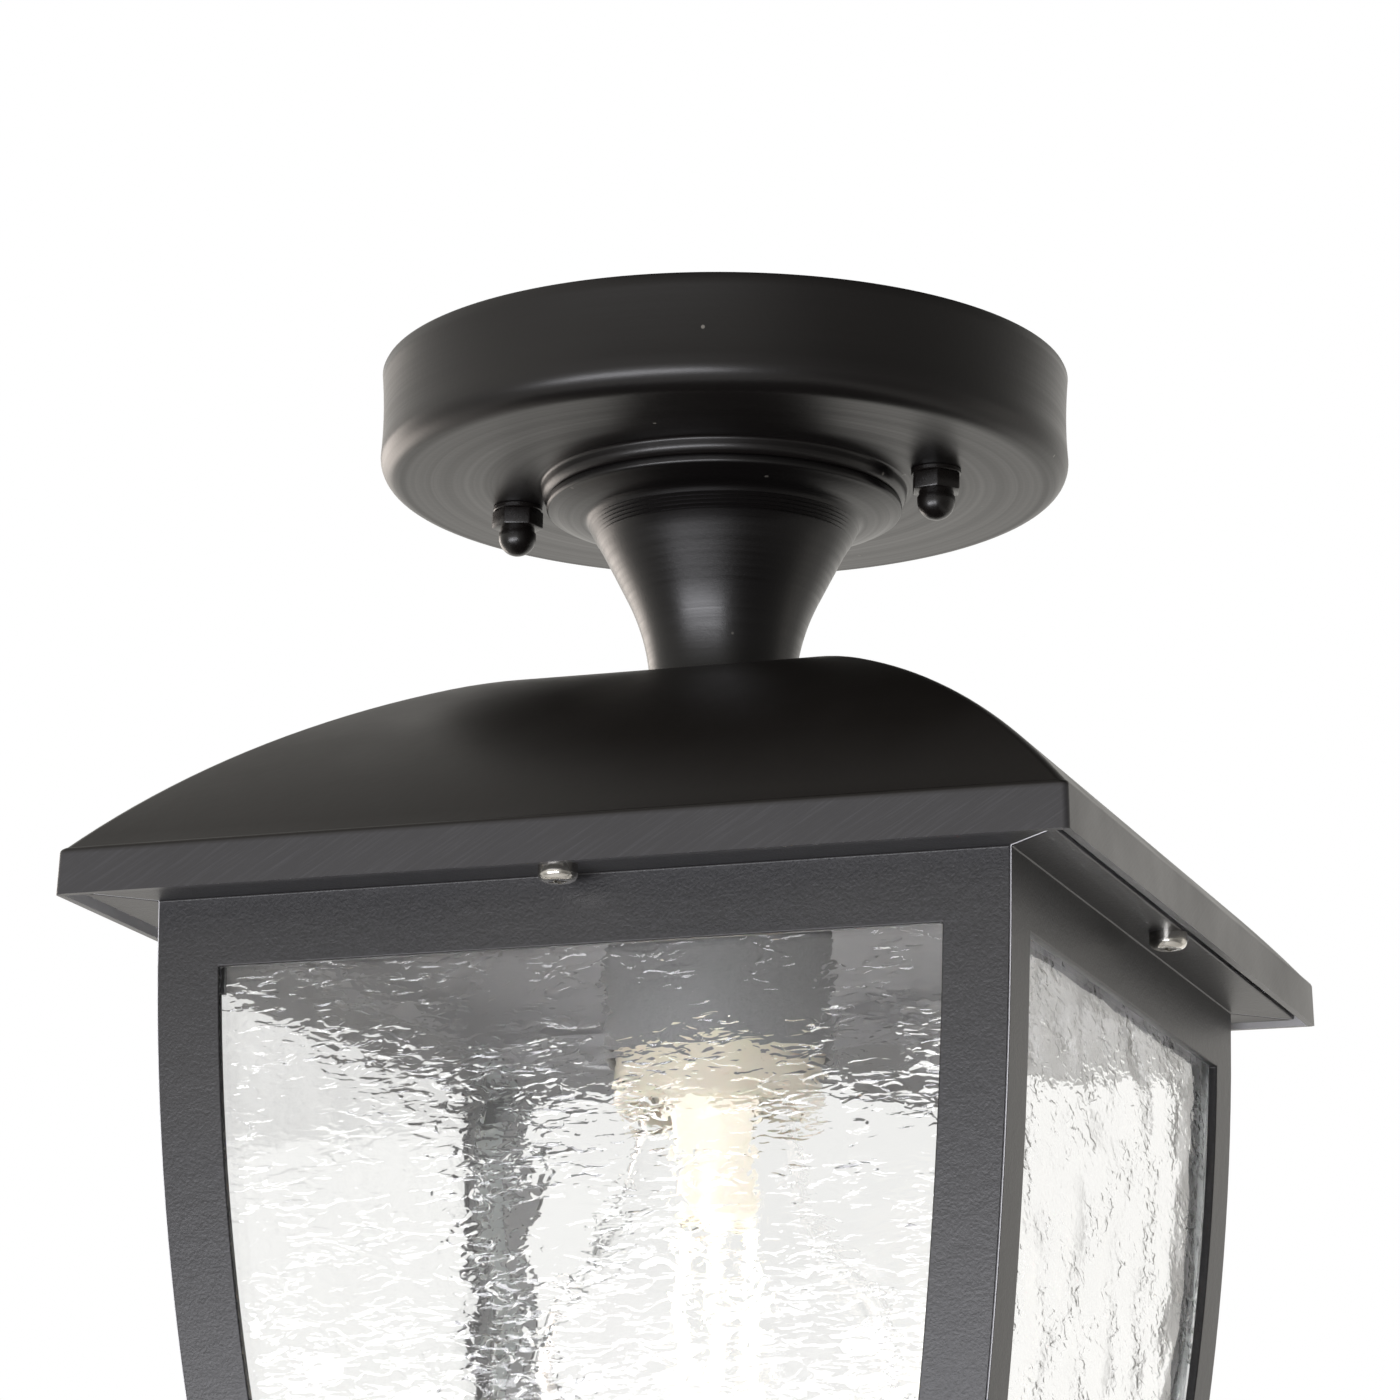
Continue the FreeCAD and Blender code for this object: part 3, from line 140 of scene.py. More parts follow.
# %% [markdown]
# ## Spun black enamel, for the canopy and the neck
#
# The canopy is spun: a disc of steel is pressed over a turning former with a roller, which
# leaves very fine rings round it. Satin black enamel softens the rings without hiding them, and
# a few specks of dust settle in the wet paint. Rings round an axis could be a wave texture, but
# noise read from only the radius and the height gives uneven rings, as a roller leaves them.

# %% Spun black enamel
def spun_enamel(name, colour, ring_mm, ring_depth_mm, roughness, dust):
    """Satin black with fine rings, faint clouds and a few pale specks."""
    material, tree, surface = new_material(name, IOR=1.42)
    place = place_in_metres(tree)
    split = add_node(tree, "ShaderNodeSeparateXYZ", {"Vector": place})
    flat = add_node(tree, "ShaderNodeCombineXYZ", {
        "X": split.outputs["X"], "Y": split.outputs["Y"]})
    radius = add_node(tree, "ShaderNodeVectorMath", {0: flat.outputs[0]}, operation="LENGTH")
    rings = add_node(tree, "ShaderNodeCombineXYZ", {
        "X": radius.outputs["Value"], "Z": split.outputs["Z"]})
    lines = add_node(tree, "ShaderNodeTexNoise", {
        "Vector": rings.outputs[0], "Scale": 1 / (ring_mm * MM), "Detail": 4.0,
        "Roughness": 0.65})
    cloud = add_node(tree, "ShaderNodeTexNoise", {
        "Vector": place, "Scale": 1 / (18 * MM), "Detail": 3.0})
    grit = add_node(tree, "ShaderNodeTexNoise", {
        "Vector": place, "Scale": 1 / (0.9 * MM), "Detail": 2.0})
    specks = add_node(tree, "ShaderNodeTexVoronoi", {
        "Vector": place, "Scale": 1 / (9 * MM), "Randomness": 1.0})
    speck = ramp_between(tree, specks.outputs["Distance"], 0.03, 0.045, dust, 0.0)
    shade = mix_colour(tree, cloud.outputs["Fac"], linear(colour[0]), linear(colour[1]))
    shade = mix_colour(tree, speck, shade, linear("#8f8b84"))
    tree.links.new(shade, surface.inputs["Base Color"])
    gloss = ramp_between(tree, lines.outputs["Fac"], 0.3, 0.7, roughness - 0.06, roughness + 0.06)
    tree.links.new(gloss, surface.inputs["Roughness"])
    fine = raise_surface(tree, surface, grit.outputs["Fac"], 0.012)
    raise_surface(tree, surface, lines.outputs["Fac"], ring_depth_mm, before=fine)
    return material


canopy_enamel = spun_enamel("spun_black_enamel", ("#0f0d0d", "#141211"), 1.6, 0.012, 0.36, 0.5)
neck_enamel = spun_enamel("turned_black_enamel", ("#0a0909", "#0f0d0d"), 0.8, 0.008, 0.34, 0.25)
print("made", canopy_enamel.name, "and", neck_enamel.name)

# %% [markdown]
# ## Pressed and brushed black enamel, for the roof
#
# The roof is pressed from sheet and its skirt is rubbed down before it is painted, which leaves
# fine slanted strokes. The strokes are noise stretched along one slant: the two level
# coordinates are added, so the same strokes run on all four sides. A soft step in the height
# keeps them to the skirt, and the top stays smooth, a little cloudy and satin. The strokes' grey
# also lifts the whole skirt above the top: that part is painted light on its upright faces.

# %% Pressed and brushed black enamel
def brushed_skirt_enamel(name):
    """Satin black, with grey strokes on the skirt alone: rubbing marks, lightened with painted
    light.
    """
    material, tree, surface = new_material(name, IOR=1.45)
    place = place_in_metres(tree)
    split = add_node(tree, "ShaderNodeSeparateXYZ", {"Vector": place})
    along = add_node(tree, "ShaderNodeMath", {0: split.outputs["X"], 1: split.outputs["Y"]})
    slant = add_node(tree, "ShaderNodeMath", {
        0: split.outputs["Z"], 1: -1.7, 2: along.outputs[0]}, operation="MULTIPLY_ADD")
    strokes_at = add_node(tree, "ShaderNodeCombineXYZ", {
        "X": slant.outputs[0], "Y": along.outputs[0]})
    stretched = add_node(tree, "ShaderNodeMapping", {
        "Vector": strokes_at.outputs[0], "Scale": (1.0, 0.06, 1.0)})
    strokes = add_node(tree, "ShaderNodeTexNoise", {
        "Vector": stretched.outputs[0], "Scale": 1 / (0.9 * MM), "Detail": 4.0,
        "Roughness": 0.7})
    on_skirt = ramp_between(tree, split.outputs["Z"], -0.0972, -0.0980, 0.0, 1.0)
    cloud = add_node(tree, "ShaderNodeTexNoise", {
        "Vector": place, "Scale": 1 / (26 * MM), "Detail": 4.0, "Roughness": 0.55})
    peel = add_node(tree, "ShaderNodeTexNoise", {
        "Vector": place, "Scale": 1 / (1.4 * MM), "Detail": 2.0})
    shade = mix_colour(tree, cloud.outputs["Fac"], linear("#100d0b"), linear("#171412"))
    # The skirt's grey is partly the rubbing marks and partly painted light that lifts the whole
    # skirt.
    rubbing_and_painted_light = add_node(tree, "ShaderNodeMath", {
        0: ramp_between(tree, strokes.outputs["Fac"], 0.5, 0.75, 0.45, 0.75), 1: on_skirt},
        operation="MULTIPLY")
    shade = mix_colour(tree, rubbing_and_painted_light.outputs[0], shade, linear("#454548"))
    tree.links.new(shade, surface.inputs["Base Color"])
    gloss = ramp_between(tree, cloud.outputs["Fac"], 0.3, 0.7, 0.33, 0.42)
    tree.links.new(gloss, surface.inputs["Roughness"])
    fine = raise_surface(tree, surface, peel.outputs["Fac"], 0.012)
    cut = add_node(tree, "ShaderNodeMath", {0: strokes.outputs["Fac"], 1: on_skirt},
                   operation="MULTIPLY")
    raise_surface(tree, surface, cut.outputs[0], 0.03, before=fine)
    return material


roof_enamel = brushed_skirt_enamel("pressed_black_enamel")
# The faces that look inward get a pale grey: painted light, which stands for the light that reaches
# the inside through the glass and the open foot.
inward_painted_light, tree, surface = new_material("inward_grey_painted_light", IOR=1.5, Roughness=0.6)
spray = add_node(tree, "ShaderNodeTexNoise", {
    "Vector": place_in_metres(tree), "Scale": 1 / (7 * MM), "Detail": 4.0})
tree.links.new(mix_colour(tree, spray.outputs["Fac"], linear("#c0c0c3"), linear("#cdcdd0")),
               surface.inputs["Base Color"])
raise_surface(tree, surface, spray.outputs["Fac"], 0.03)
print("made", roof_enamel.name, "and", inward_painted_light.name)

# %% [markdown]
# ## Textured powder coat, for the cage
#
# Powder coat is dry paint, sprayed on and baked. A fine texture powder melts into tiny grains
# that scatter light, so the cage looks dark grey where the smooth enamel looks black. The real
# grain is about 0.3 mm, which is near the size of a pixel here, so it is drawn at 0.5 mm with a
# second, larger swell under it. The cup gets a mid grey copy of the coat and the corner angles a
# pale one: painted light, which stands for how light they look through the glass.

# %% Textured powder coat
def powder_coat(name, colours, roughness, grain_depth):
    """Dull coat with a fine grain that spreads the highlights."""
    material, tree, surface = new_material(name, IOR=1.5)
    place = place_in_metres(tree)
    grain = add_node(tree, "ShaderNodeTexNoise", {
        "Vector": place, "Scale": 1 / (0.5 * MM), "Detail": 2.5, "Roughness": 0.6})
    swell = add_node(tree, "ShaderNodeTexNoise", {
        "Vector": place, "Scale": 1 / (2.6 * MM), "Detail": 2.0})
    cloud = add_node(tree, "ShaderNodeTexNoise", {
        "Vector": place, "Scale": 1 / (30 * MM), "Detail": 3.0})
    shade = mix_colour(tree, ramp_between(tree, grain.outputs["Fac"], 0.35, 0.65, 0.0, 1.0),
                       linear(colours[0]), linear(colours[1]))
    shade = mix_colour(tree, ramp_between(tree, cloud.outputs["Fac"], 0.4, 0.7, 0.0, 0.35),
                       shade, linear(colours[2]))
    tree.links.new(shade, surface.inputs["Base Color"])
    surface.inputs["Roughness"].default_value = roughness
    low = raise_surface(tree, surface, swell.outputs["Fac"], 0.05)
    raise_surface(tree, surface, grain.outputs["Fac"], grain_depth, before=low)
    return material


cage_coat = powder_coat("textured_powder_coat", ("#141416", "#232326", "#262525"), 0.42, 0.06)
# Lighter copies of the coat for the cup and the corner angles: painted light, for how light they
# look through the glass.
cup_coat_painted_light = powder_coat("mid_grey_coat_painted_light", ("#727274", "#828284", "#848486"), 0.55, 0.03)
angle_coat_painted_light = powder_coat("pale_coat_painted_light", ("#ccd2d2", "#d6dcdc", "#d8dddd"), 0.55, 0.03)
print("made", cage_coat.name + ",", cup_coat_painted_light.name, "and", angle_coat_painted_light.name)

# %% [markdown]
# ## Small metal parts and dark nuts
#
# Straps and nuts are steel with bright zinc plate, which is a pale blue grey with a faint
# crystal mottle. The cage's screws are nickel plated and brighter, the clips are darker spring
# steel, the wires' ends are bare copper, the lamp's tip is dull solder and the earth screw is
# dyed green. Metals take their colour from the reflection, so the base colour is the metal's own
# and the roughness does the rest. The cap nuts are enamelled like the canopy, in finer rings.

# %% Plated metals
def plated_metal(name, colours, roughness, mottle_mm=1.5, depth=0.006):
    """Bright metal whose sharpness changes a little from crystal to crystal."""
    material, tree, surface = new_material(name, Metallic=1.0)
    place = place_in_metres(tree)
    mottle = add_node(tree, "ShaderNodeTexVoronoi", {
        "Vector": place, "Scale": 1 / (mottle_mm * MM)}, feature="SMOOTH_F1")
    wear = add_node(tree, "ShaderNodeTexNoise", {
        "Vector": place, "Scale": 1 / (4 * MM), "Detail": 5.0, "Roughness": 0.6})
    shade = mix_colour(tree, wear.outputs["Fac"], linear(colours[0]), linear(colours[1]))
    tree.links.new(shade, surface.inputs["Base Color"])
    gloss = ramp_between(tree, mottle.outputs["Distance"], 0.0, 0.8,
                         roughness - 0.05, roughness + 0.08)
    tree.links.new(gloss, surface.inputs["Roughness"])
    raise_surface(tree, surface, wear.outputs["Fac"], depth)
    return material


zinc_plate = plated_metal("bright_zinc_plate", ("#b9bcbd", "#d3d5d4"), 0.3)
nickel_plate = plated_metal("nickel_plate", ("#c9c6bf", "#e2e0da"), 0.18)
spring_steel = plated_metal("spring_steel", ("#8d8f90", "#a9abab"), 0.32)
copper_strand = plated_metal("copper_strand", ("#b8683e", "#d98d62"), 0.3, 0.4)
solder = plated_metal("solder", ("#a2a2a0", "#bcbcb8"), 0.45, 0.8, 0.02)
green_zinc = plated_metal("green_dyed_zinc", ("#2c6b3c", "#3f8750"), 0.33)
dark_nut = spun_enamel("black_nut_enamel", ("#0e0c0b", "#151211"), 0.6, 0.006, 0.3, 0.0)
print("made the plated metals")

# %% [markdown]
# ## Glass
#
# The panes are water glass: sheet glass rolled while soft, so that its face swells and carries
# patches of fine level ripples. The swell bends the view and is modelled in a later step. The
# ripples are under a tenth of a millimetre high, so bump is enough for them: noise drawn out
# sideways, a ramp that keeps its crests alone, and slower noise that gathers them in patches.
# Looking through two strong panes would break up the whites, so the front pane is the strongest,
# the right one is softer and the two behind are calm. The bulb is blown so thin that it hardly
# bends light, which a low index gives. The ring round the lamp's tip is black glass, which is
# poured and sets with a faintly uneven face.

# %% Clear, rippled and black glass
def clear_glass(name, colour, ior=1.5):
    """Smooth glass: what shows is what lies behind it, and a thin reflection."""
    return new_material(name, IOR=ior, Roughness=0.0, Transmission_Weight=1.0,
                        Base_Color=linear(colour))


def rippled_glass(name, depth_mm):
    """Clear glass with patches of fine level ripples over the modelled swell."""
    material, tree, surface = clear_glass(name, "#fbfbfa")
    place = place_in_metres(tree)
    level = add_node(tree, "ShaderNodeMapping", {"Vector": place, "Scale": (0.38, 0.38, 1.0)})
    ripples = add_node(tree, "ShaderNodeTexNoise", {
        "Vector": level.outputs[0], "Scale": 1 / (1.7 * MM), "Detail": 1.5,
        "Roughness": 0.45, "Distortion": 0.5})
    crests = ramp_between(tree, ripples.outputs["Fac"], 0.47, 0.62, 0.0, 1.0)
    patches = add_node(tree, "ShaderNodeTexNoise", {
        "Vector": place, "Scale": 1 / (11 * MM), "Detail": 2.0})
    amount = ramp_between(tree, patches.outputs["Fac"], 0.44, 0.6, 0.2, 1.0)
    height = add_node(tree, "ShaderNodeMath", {0: crests, 1: amount},
                      operation="MULTIPLY")
    raise_surface(tree, surface, height.outputs[0], depth_mm)
    return material


water_glass = rippled_glass("rippled_water_glass", 0.085)
soft_glass = rippled_glass("soft_water_glass", 0.035)
calm_glass = rippled_glass("calm_water_glass", 0.015)
bulb_glass = clear_glass("clear_bulb_glass", "#ffffff", ior=1.15)[0]
vitrite, tree, surface = new_material(
    "black_vitrite_glass", Base_Color=linear("#101114"), Roughness=0.12, IOR=1.55)
speckle = add_node(tree, "ShaderNodeTexNoise", {
    "Vector": place_in_metres(tree), "Scale": 1 / (1.0 * MM), "Detail": 3.0})
raise_surface(tree, surface, speckle.outputs["Fac"], 0.03)
print("made", water_glass.name + ",", bulb_glass.name, "and", vitrite.name)

# %% [markdown]
# ## Porcelain and stem glass
#
# The lampholder is porcelain under a cream glaze, which is a soft body under a hard glossy coat.
# Subsurface scattering gives the soft body and a coat gives the gloss. The small brown pits are
# where the glaze drew back in the kiln. The lamp's stem is pressed glass, milky and warm, so it
# scatters too, and a faint painted glow stands for the light its filaments throw into it.


# %% Glazed porcelain
def cream_glaze(name):
    """Cream porcelain with soft clouds, small brown pits and a glossy coat."""
    material, tree, surface = new_material(
        name, Roughness=0.35, IOR=1.52, Subsurface_Weight=0.15, Subsurface_Scale=0.004,
        Coat_Weight=0.8, Coat_Roughness=0.08)
    place = place_in_metres(tree)
    cloud = add_node(tree, "ShaderNodeTexNoise", {
        "Vector": place, "Scale": 1 / (9 * MM), "Detail": 4.0})
    pits = add_node(tree, "ShaderNodeTexVoronoi", {
        "Vector": place, "Scale": 1 / (2.2 * MM)})
    pit = ramp_between(tree, pits.outputs["Distance"], 0.04, 0.08, 0.5, 0.0)
    shade = mix_colour(tree, cloud.outputs["Fac"], linear("#e6dcc4"), linear("#f1ead8"))
    shade = mix_colour(tree, pit, shade, linear("#9c8c6c"))
    tree.links.new(shade, surface.inputs["Base Color"])
    raise_surface(tree, surface, cloud.outputs["Fac"], 0.12)
    return material


ceramic_glaze = cream_glaze("cream_glazed_porcelain")
print("made", ceramic_glaze.name)


# %% Stem glass
def stem_glass_painted_glow(name):
    """Milky warm glass with a faint painted glow for the filaments' light."""
    material, tree, surface = new_material(
        name, Roughness=0.18, IOR=1.5, Transmission_Weight=0.25, Subsurface_Weight=0.2,
        Subsurface_Scale=0.003, Emission_Color=linear("#fffaee"), Emission_Strength=0.35)
    place = place_in_metres(tree)
    seeds = add_node(tree, "ShaderNodeTexNoise", {
        "Vector": place, "Scale": 1 / (3 * MM), "Detail": 3.0})
    shade = mix_colour(tree, seeds.outputs["Fac"], linear("#f1ece0"), linear("#f9f6ef"))
    tree.links.new(shade, surface.inputs["Base Color"])
    raise_surface(tree, surface, seeds.outputs["Fac"], 0.1)
    return material


stem_glass = stem_glass_painted_glow("stem_glass_painted_glow")
print("made", stem_glass.name)

# %% [markdown]
# ## The glowing filaments and the wires
#
# The lamp is lit. Each filament is a thin stick under a yellow coat, which glows from inside, so
# its material gives light of its own, with small bright grains where the chips sit. The wires'
# sleeves are soft plastic.

# %% Filaments and sleeves
def glowing_filament(name):
    """A warm white glow in fine bands, one for each chip."""
    material, tree, surface = new_material(
        name, Base_Color=linear("#f6c66a"), Roughness=0.5, IOR=1.45, Emission_Strength=7.0)
    place = place_in_metres(tree)
    chips = add_node(tree, "ShaderNodeTexWave", {
        "Vector": place, "Scale": 1 / (6.3 * MM), "Distortion": 0.4}, bands_direction="Z")
    glow = mix_colour(tree, chips.outputs["Fac"], linear("#fff0d2"), linear("#fff9ea"))
    tree.links.new(glow, surface.inputs["Emission Color"])
    return material


def wire_sleeve(name, colours):
    """Soft plastic with faint handling marks."""
    material, tree, surface = new_material(name, Roughness=0.42, IOR=1.53)
    place = place_in_metres(tree)
    marks = add_node(tree, "ShaderNodeTexNoise", {
        "Vector": place, "Scale": 1 / (2.0 * MM), "Detail": 3.0})
    shade = mix_colour(tree, marks.outputs["Fac"], linear(colours[0]), linear(colours[1]))
    tree.links.new(shade, surface.inputs["Base Color"])
    raise_surface(tree, surface, marks.outputs["Fac"], 0.03)
    return material


filament_glow = glowing_filament("glowing_filament_coat")
black_sleeve = wire_sleeve("black_wire_sleeve", ("#161514", "#1f1e1d"))
white_sleeve = wire_sleeve("white_wire_sleeve", ("#dcdad4", "#ebeae6"))
print("made", filament_glow.name + ",", black_sleeve.name, "and", white_sleeve.name)

# %% [markdown]
# ## From a section to a turned piece
#
# Most of the lantern is turned or spun, so its shape is one section swept round an axis. The
# spin operator does that sweep. A section is a list of radius and height pairs in
# millimetres, and where it is round, the arc helper fills in points between two ends.

# %% Points of an arc
def arc(start, end, radius, turn, steps=8):
    """Points of the short arc from start to end; turn +1 goes anticlockwise, -1 clockwise."""
    first = Vector(start)
    last = Vector(end)
    half = (last - first) * 0.5
    side = Vector((-half.y, half.x)).normalized()
    centre = first + half + side * turn * math.sqrt(max(radius ** 2 - half.length ** 2, 0))
    from_angle = math.atan2(first.y - centre.y, first.x - centre.x)
    to_angle = math.atan2(last.y - centre.y, last.x - centre.x)
    sweep = (to_angle - from_angle) % (2 * math.pi)
    if turn < 0:
        sweep -= 2 * math.pi
    points = []
    for step in range(steps + 1):
        angle = from_angle + sweep * step / steps
        points.append((centre.x + radius * math.cos(angle), centre.y + radius * math.sin(angle)))
    return points


print("points of a quarter circle:", len(arc((4, 0), (0, 4), 4, 1)))


# %% The finished piece
def finish_piece(bm, name, material, body, nodes=(), crease=32):
    """Turns a bmesh into a smooth-shaded piece that rides on a body and replaces its nodes."""
    mesh = bpy.data.meshes.new(name)
    bm.to_mesh(mesh)
    bm.free()
    mesh.shade_smooth()
    mesh.set_sharp_from_angle(angle=math.radians(crease))
    mesh.materials.append(material)
    piece = bpy.data.objects.new(name, mesh)
    bpy.context.scene.collection.objects.link(piece)
    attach(piece, body)
    if nodes:
        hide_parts(*nodes)
    print("%-22s %6d faces" % (name, len(mesh.polygons)))
    return piece


# %% Spin a section
def spin_section(bm, section, centre=(0, 0), steps=96):
    """Adds a closed section, spun about an upright axis through the centre, to the bmesh."""
    on_axis = section[0][0] < 1e-6 and section[-1][0] < 1e-6
    rim = [bm.verts.new((radius * MM, 0, height * MM)) for radius, height in section]
    pairs = list(zip(rim, rim[1:]))
    if not on_axis:
        pairs.append((rim[-1], rim[0]))
    edges = [bm.edges.new(pair) for pair in pairs]
    before = set(bm.verts) - set(rim)
    bmesh.ops.spin(bm, geom=rim + edges, cent=(0, 0, 0), axis=(0, 0, 1), dvec=(0, 0, 0),
                   angle=2 * math.pi, steps=steps, use_merge=True, use_duplicate=False)
    made = [vertex for vertex in bm.verts if vertex not in before]
    bmesh.ops.remove_doubles(bm, verts=made, dist=1e-7)
    made = [vertex for vertex in bm.verts if vertex not in before]
    faces = list({face for vertex in made for face in vertex.link_faces})
    bmesh.ops.recalc_face_normals(bm, faces=faces)
    bmesh.ops.translate(bm, verts=made, vec=(centre[0] * MM, centre[1] * MM, 0))


def turned_piece(name, section, material, body, nodes=(), centre=(0, 0), steps=96,
                 crease=32):
    """One spun section as a whole piece."""
    bm = bmesh.new()
    spin_section(bm, section, centre, steps)
    return finish_piece(bm, name, material, body, nodes or (name,), crease)


# %% [markdown]
# ## Canopy
#
# The canopy hides the ceiling box. Its wall is very slightly waisted, its lower edge is well
# rounded, and a raised boss in the middle seats the neck. One closed section with its inside
# a sheet's thickness in gives both skins at once, which a plain disc would not.

# %% Spin the canopy
outside = (arc((30.4, -22.4), (32.0, -20.8), 1.6, 1, 8)
           + arc((32.0, -20.2), (32.6, -19.6), 0.6, -1, 4)
           + arc((56.35, -19.6), (60.35, -15.6), 4.0, 1, 12)
           + arc((60.35, -15.6), (60.35, -0.3), 87.0, -1, 8) + [(60.2, 0.0)])
inside = ([(59.55, 0.0)] + arc((59.45, -0.3), (59.45, -15.6), 87.9, 1, 8)
          + arc((59.45, -15.6), (56.35, -18.7), 3.1, -1, 10)
          + arc((32.6, -18.7), (31.1, -20.2), 1.5, 1, 4)
          + arc((31.1, -20.8), (30.4, -21.5), 0.7, -1, 4))
turned_piece("canopy_shell", [(5.2, -22.4)] + outside + inside + [(5.2, -21.5)],
             canopy_enamel, "lantern", ("canopy",), steps=160)

# %% [markdown]
# ## Neck
#
# The neck is turned: a thin rim, a shallow dish, a crease with a few fine rings below it where
# the tool paused, and a long flare down to the roof. The rings are a fifth of a millimetre
# high, and they are in the section so that they catch a real highlight.

# %% Spin the neck
RING_STEP = 0.62
RING_HALF = 0.16
RING_HEIGHT = 0.2
rings = []
for number in range(5):
    height = -26.9 - number * RING_STEP
    radius = 23.8 - (23.8 - 17.0) * (-26.3 - height) / 13.2
    rings += [(radius, height - RING_HALF), (radius + RING_HEIGHT, height),
              (radius, height + RING_HALF)]
rings.sort(key=lambda point: point[1])
neck_section = ([(5.3, -57.0)] + arc((12.6, -57.0), (17.0, -39.5), 38.4, -1, 16)
                + [(19.2, -35.2), (20.9, -31.9)] + rings + [(23.7, -26.45), (23.9, -26.2)]
                + arc((24.3, -25.8), (30.6, -24.1), 24.0, 1, 10)
                + arc((30.6, -24.1), (31.2, -23.5), 0.6, 1, 4)
                + arc((31.2, -23.0), (30.6, -22.4), 0.6, 1, 4)
                + [(21.8, -22.4), (14.8, -39.5), (10.4, -53.0), (5.3, -53.0)])
turned_piece("neck_flare", neck_section, neck_enamel, "lantern", ("neck",),
             steps=128, crease=60)

# %% [markdown]
# ## Washers and cap nuts
#
# Two domed nuts under two washers hold the canopy up. A nut is a hexagon whose ends are turned
# down, so its corners fade into a cone, and a dome stands on a short neck. The hexagon is a
# six-sided circle, extruded and bevelled; the dome is spun into the same mesh.

# %% Build the washers and cap nuts
def hexagon_block(bm, flats_mm, low_mm, high_mm, centre, turn_degrees, bevel_mm):
    """A six-sided block with softened edges, added to the bmesh."""
    corner = flats_mm / math.sqrt(3) * MM
    made = bmesh.ops.create_circle(
        bm, cap_ends=True, segments=6, radius=corner,
        matrix=Matrix.Translation((centre[0] * MM, centre[1] * MM, low_mm * MM))
        @ Matrix.Rotation(math.radians(turn_degrees), 4, "Z"))["verts"]
    base = made[0].link_faces[0]
    up = bmesh.ops.extrude_face_region(bm, geom=[base], use_keep_orig=True)["geom"]
    top = [item for item in up if isinstance(item, bmesh.types.BMVert)]
    bmesh.ops.translate(bm, verts=top, vec=(0, 0, (high_mm - low_mm) * MM))
    both = made + top
    faces = list({face for vertex in both for face in vertex.link_faces})
    bmesh.ops.recalc_face_normals(bm, faces=faces)
    edges = list({edge for vertex in both for edge in vertex.link_edges})
    bmesh.ops.bevel(bm, geom=edges, offset=bevel_mm * MM, offset_type="OFFSET", affect="EDGES",
                    segments=2, profile=0.5, material=-1)


def domed_nut(name, centre, turn_degrees, body, node):
    """A hexagon with a dome under it, in one mesh."""
    bm = bmesh.new()
    hexagon_block(bm, 7.94, -23.6, -20.5, centre, turn_degrees, 0.3)
    dome = ([(0.0, -28.6)] + arc((0.01, -28.6), (3.3, -25.3), 3.3, 1, 10)
            + [(3.3, -24.6), (3.05, -24.2), (3.05, -23.4), (0.0, -23.4)])
    spin_section(bm, dome, centre, 48)
    return finish_piece(bm, name, dark_nut, body, (node,), 40)


for side, centre, turn in (("left", (-38.8, 0), -71), ("right", (38.8, 0), -41)):
    turned_piece(side + "_stud_washer",
                 [(2.25, -20.5), (4.2, -20.5), (4.35, -20.35), (4.35, -19.75), (4.2, -19.6),
                  (2.25, -19.6)], dark_nut, side + "_washer",
                 (side + "_washer",), centre, 48)
    domed_nut(side + "_domed_nut", centre, turn, side + "_cap_nut", side + "_cap_nut")

# %% [markdown]
# ## Roof
#
# The roof is a square dome. At every level its plan is a square, so it can grow from a small
# flat square: the outer edge is extruded again and again, scaled to the next width and lowered
# to the next height of the section. The four hips are bevelled while they are still edges
# of a thin skin, and the skin then gets the thickness of the sheet.

# %% Grow the roof from its crown
def sheet_finish(piece, thickness_mm, bevel_mm, offset=-1.0, angle=40):
    """Live modifiers: a sheet's thickness, a broken edge and even shading."""
    if thickness_mm:
        wall = piece.modifiers.new("sheet", "SOLIDIFY")
        wall.thickness = thickness_mm * MM
        wall.offset = offset
        wall.use_even_offset = True
    edge = piece.modifiers.new("broken_edge", "BEVEL")
    edge.width = bevel_mm * MM
    edge.segments = 2
    edge.limit_method = "ANGLE"
    edge.angle_limit = math.radians(angle)
    even = piece.modifiers.new("even_shading", "WEIGHTED_NORMAL")
    even.keep_sharp = False
    return piece


CROWN_HALF = 12.6
CROWN_LEVEL = -57.0
roof_section = (arc((CROWN_HALF, CROWN_LEVEL), (36.4, -62.0), 60.0, -1, 10)[1:]
                + arc((36.4, -62.0), (84.0, -96.7), 138.0, -1, 20)[1:]
                + arc((84.0, -96.7), (84.75, -97.5), 0.9, -1, 4)[1:]
                + [(84.87, -101.0), (85.0, -104.6)])
width, height = CROWN_HALF, CROWN_LEVEL
bm = bmesh.new()
bmesh.ops.create_grid(bm, x_segments=20, y_segments=20, size=width * MM,
                      matrix=Matrix.Translation((0, 0, height * MM)))
rim = [edge for edge in bm.edges if edge.is_boundary]
for next_width, next_height in roof_section:
    grown = bmesh.ops.extrude_edge_only(bm, edges=rim)["geom"]
    ring = [item for item in grown if isinstance(item, bmesh.types.BMVert)]
    rim = [item for item in grown if isinstance(item, bmesh.types.BMEdge)
           and item.is_boundary]
    grow = next_width / width
    bmesh.ops.scale(bm, vec=(grow, grow, 1), verts=ring)
    bmesh.ops.translate(bm, vec=(0, 0, (next_height - height) * MM), verts=ring)
    width, height = next_width, next_height
bmesh.ops.recalc_face_normals(bm, faces=bm.faces)
hips = [edge for edge in bm.edges
        if all(abs(abs(vertex.co.x) - abs(vertex.co.y)) < 1e-6 for vertex in edge.verts)
        and min(abs(vertex.co.x) for vertex in edge.verts) > 12.5 * MM]
bmesh.ops.bevel(bm, geom=hips, offset=1.1 * MM, offset_type="OFFSET", affect="EDGES",
                segments=4, profile=0.5, material=-1)
roof = finish_piece(bm, "roof_shell", roof_enamel, "lantern", ("roof",), 60)
# The roof's inner skin takes the second slot, the pale grey painted light for the inside.
roof.data.materials.append(inward_painted_light)
sheet_finish(roof, 1.3, 0.3, angle=60)
roof.modifiers["sheet"].material_offset = 1
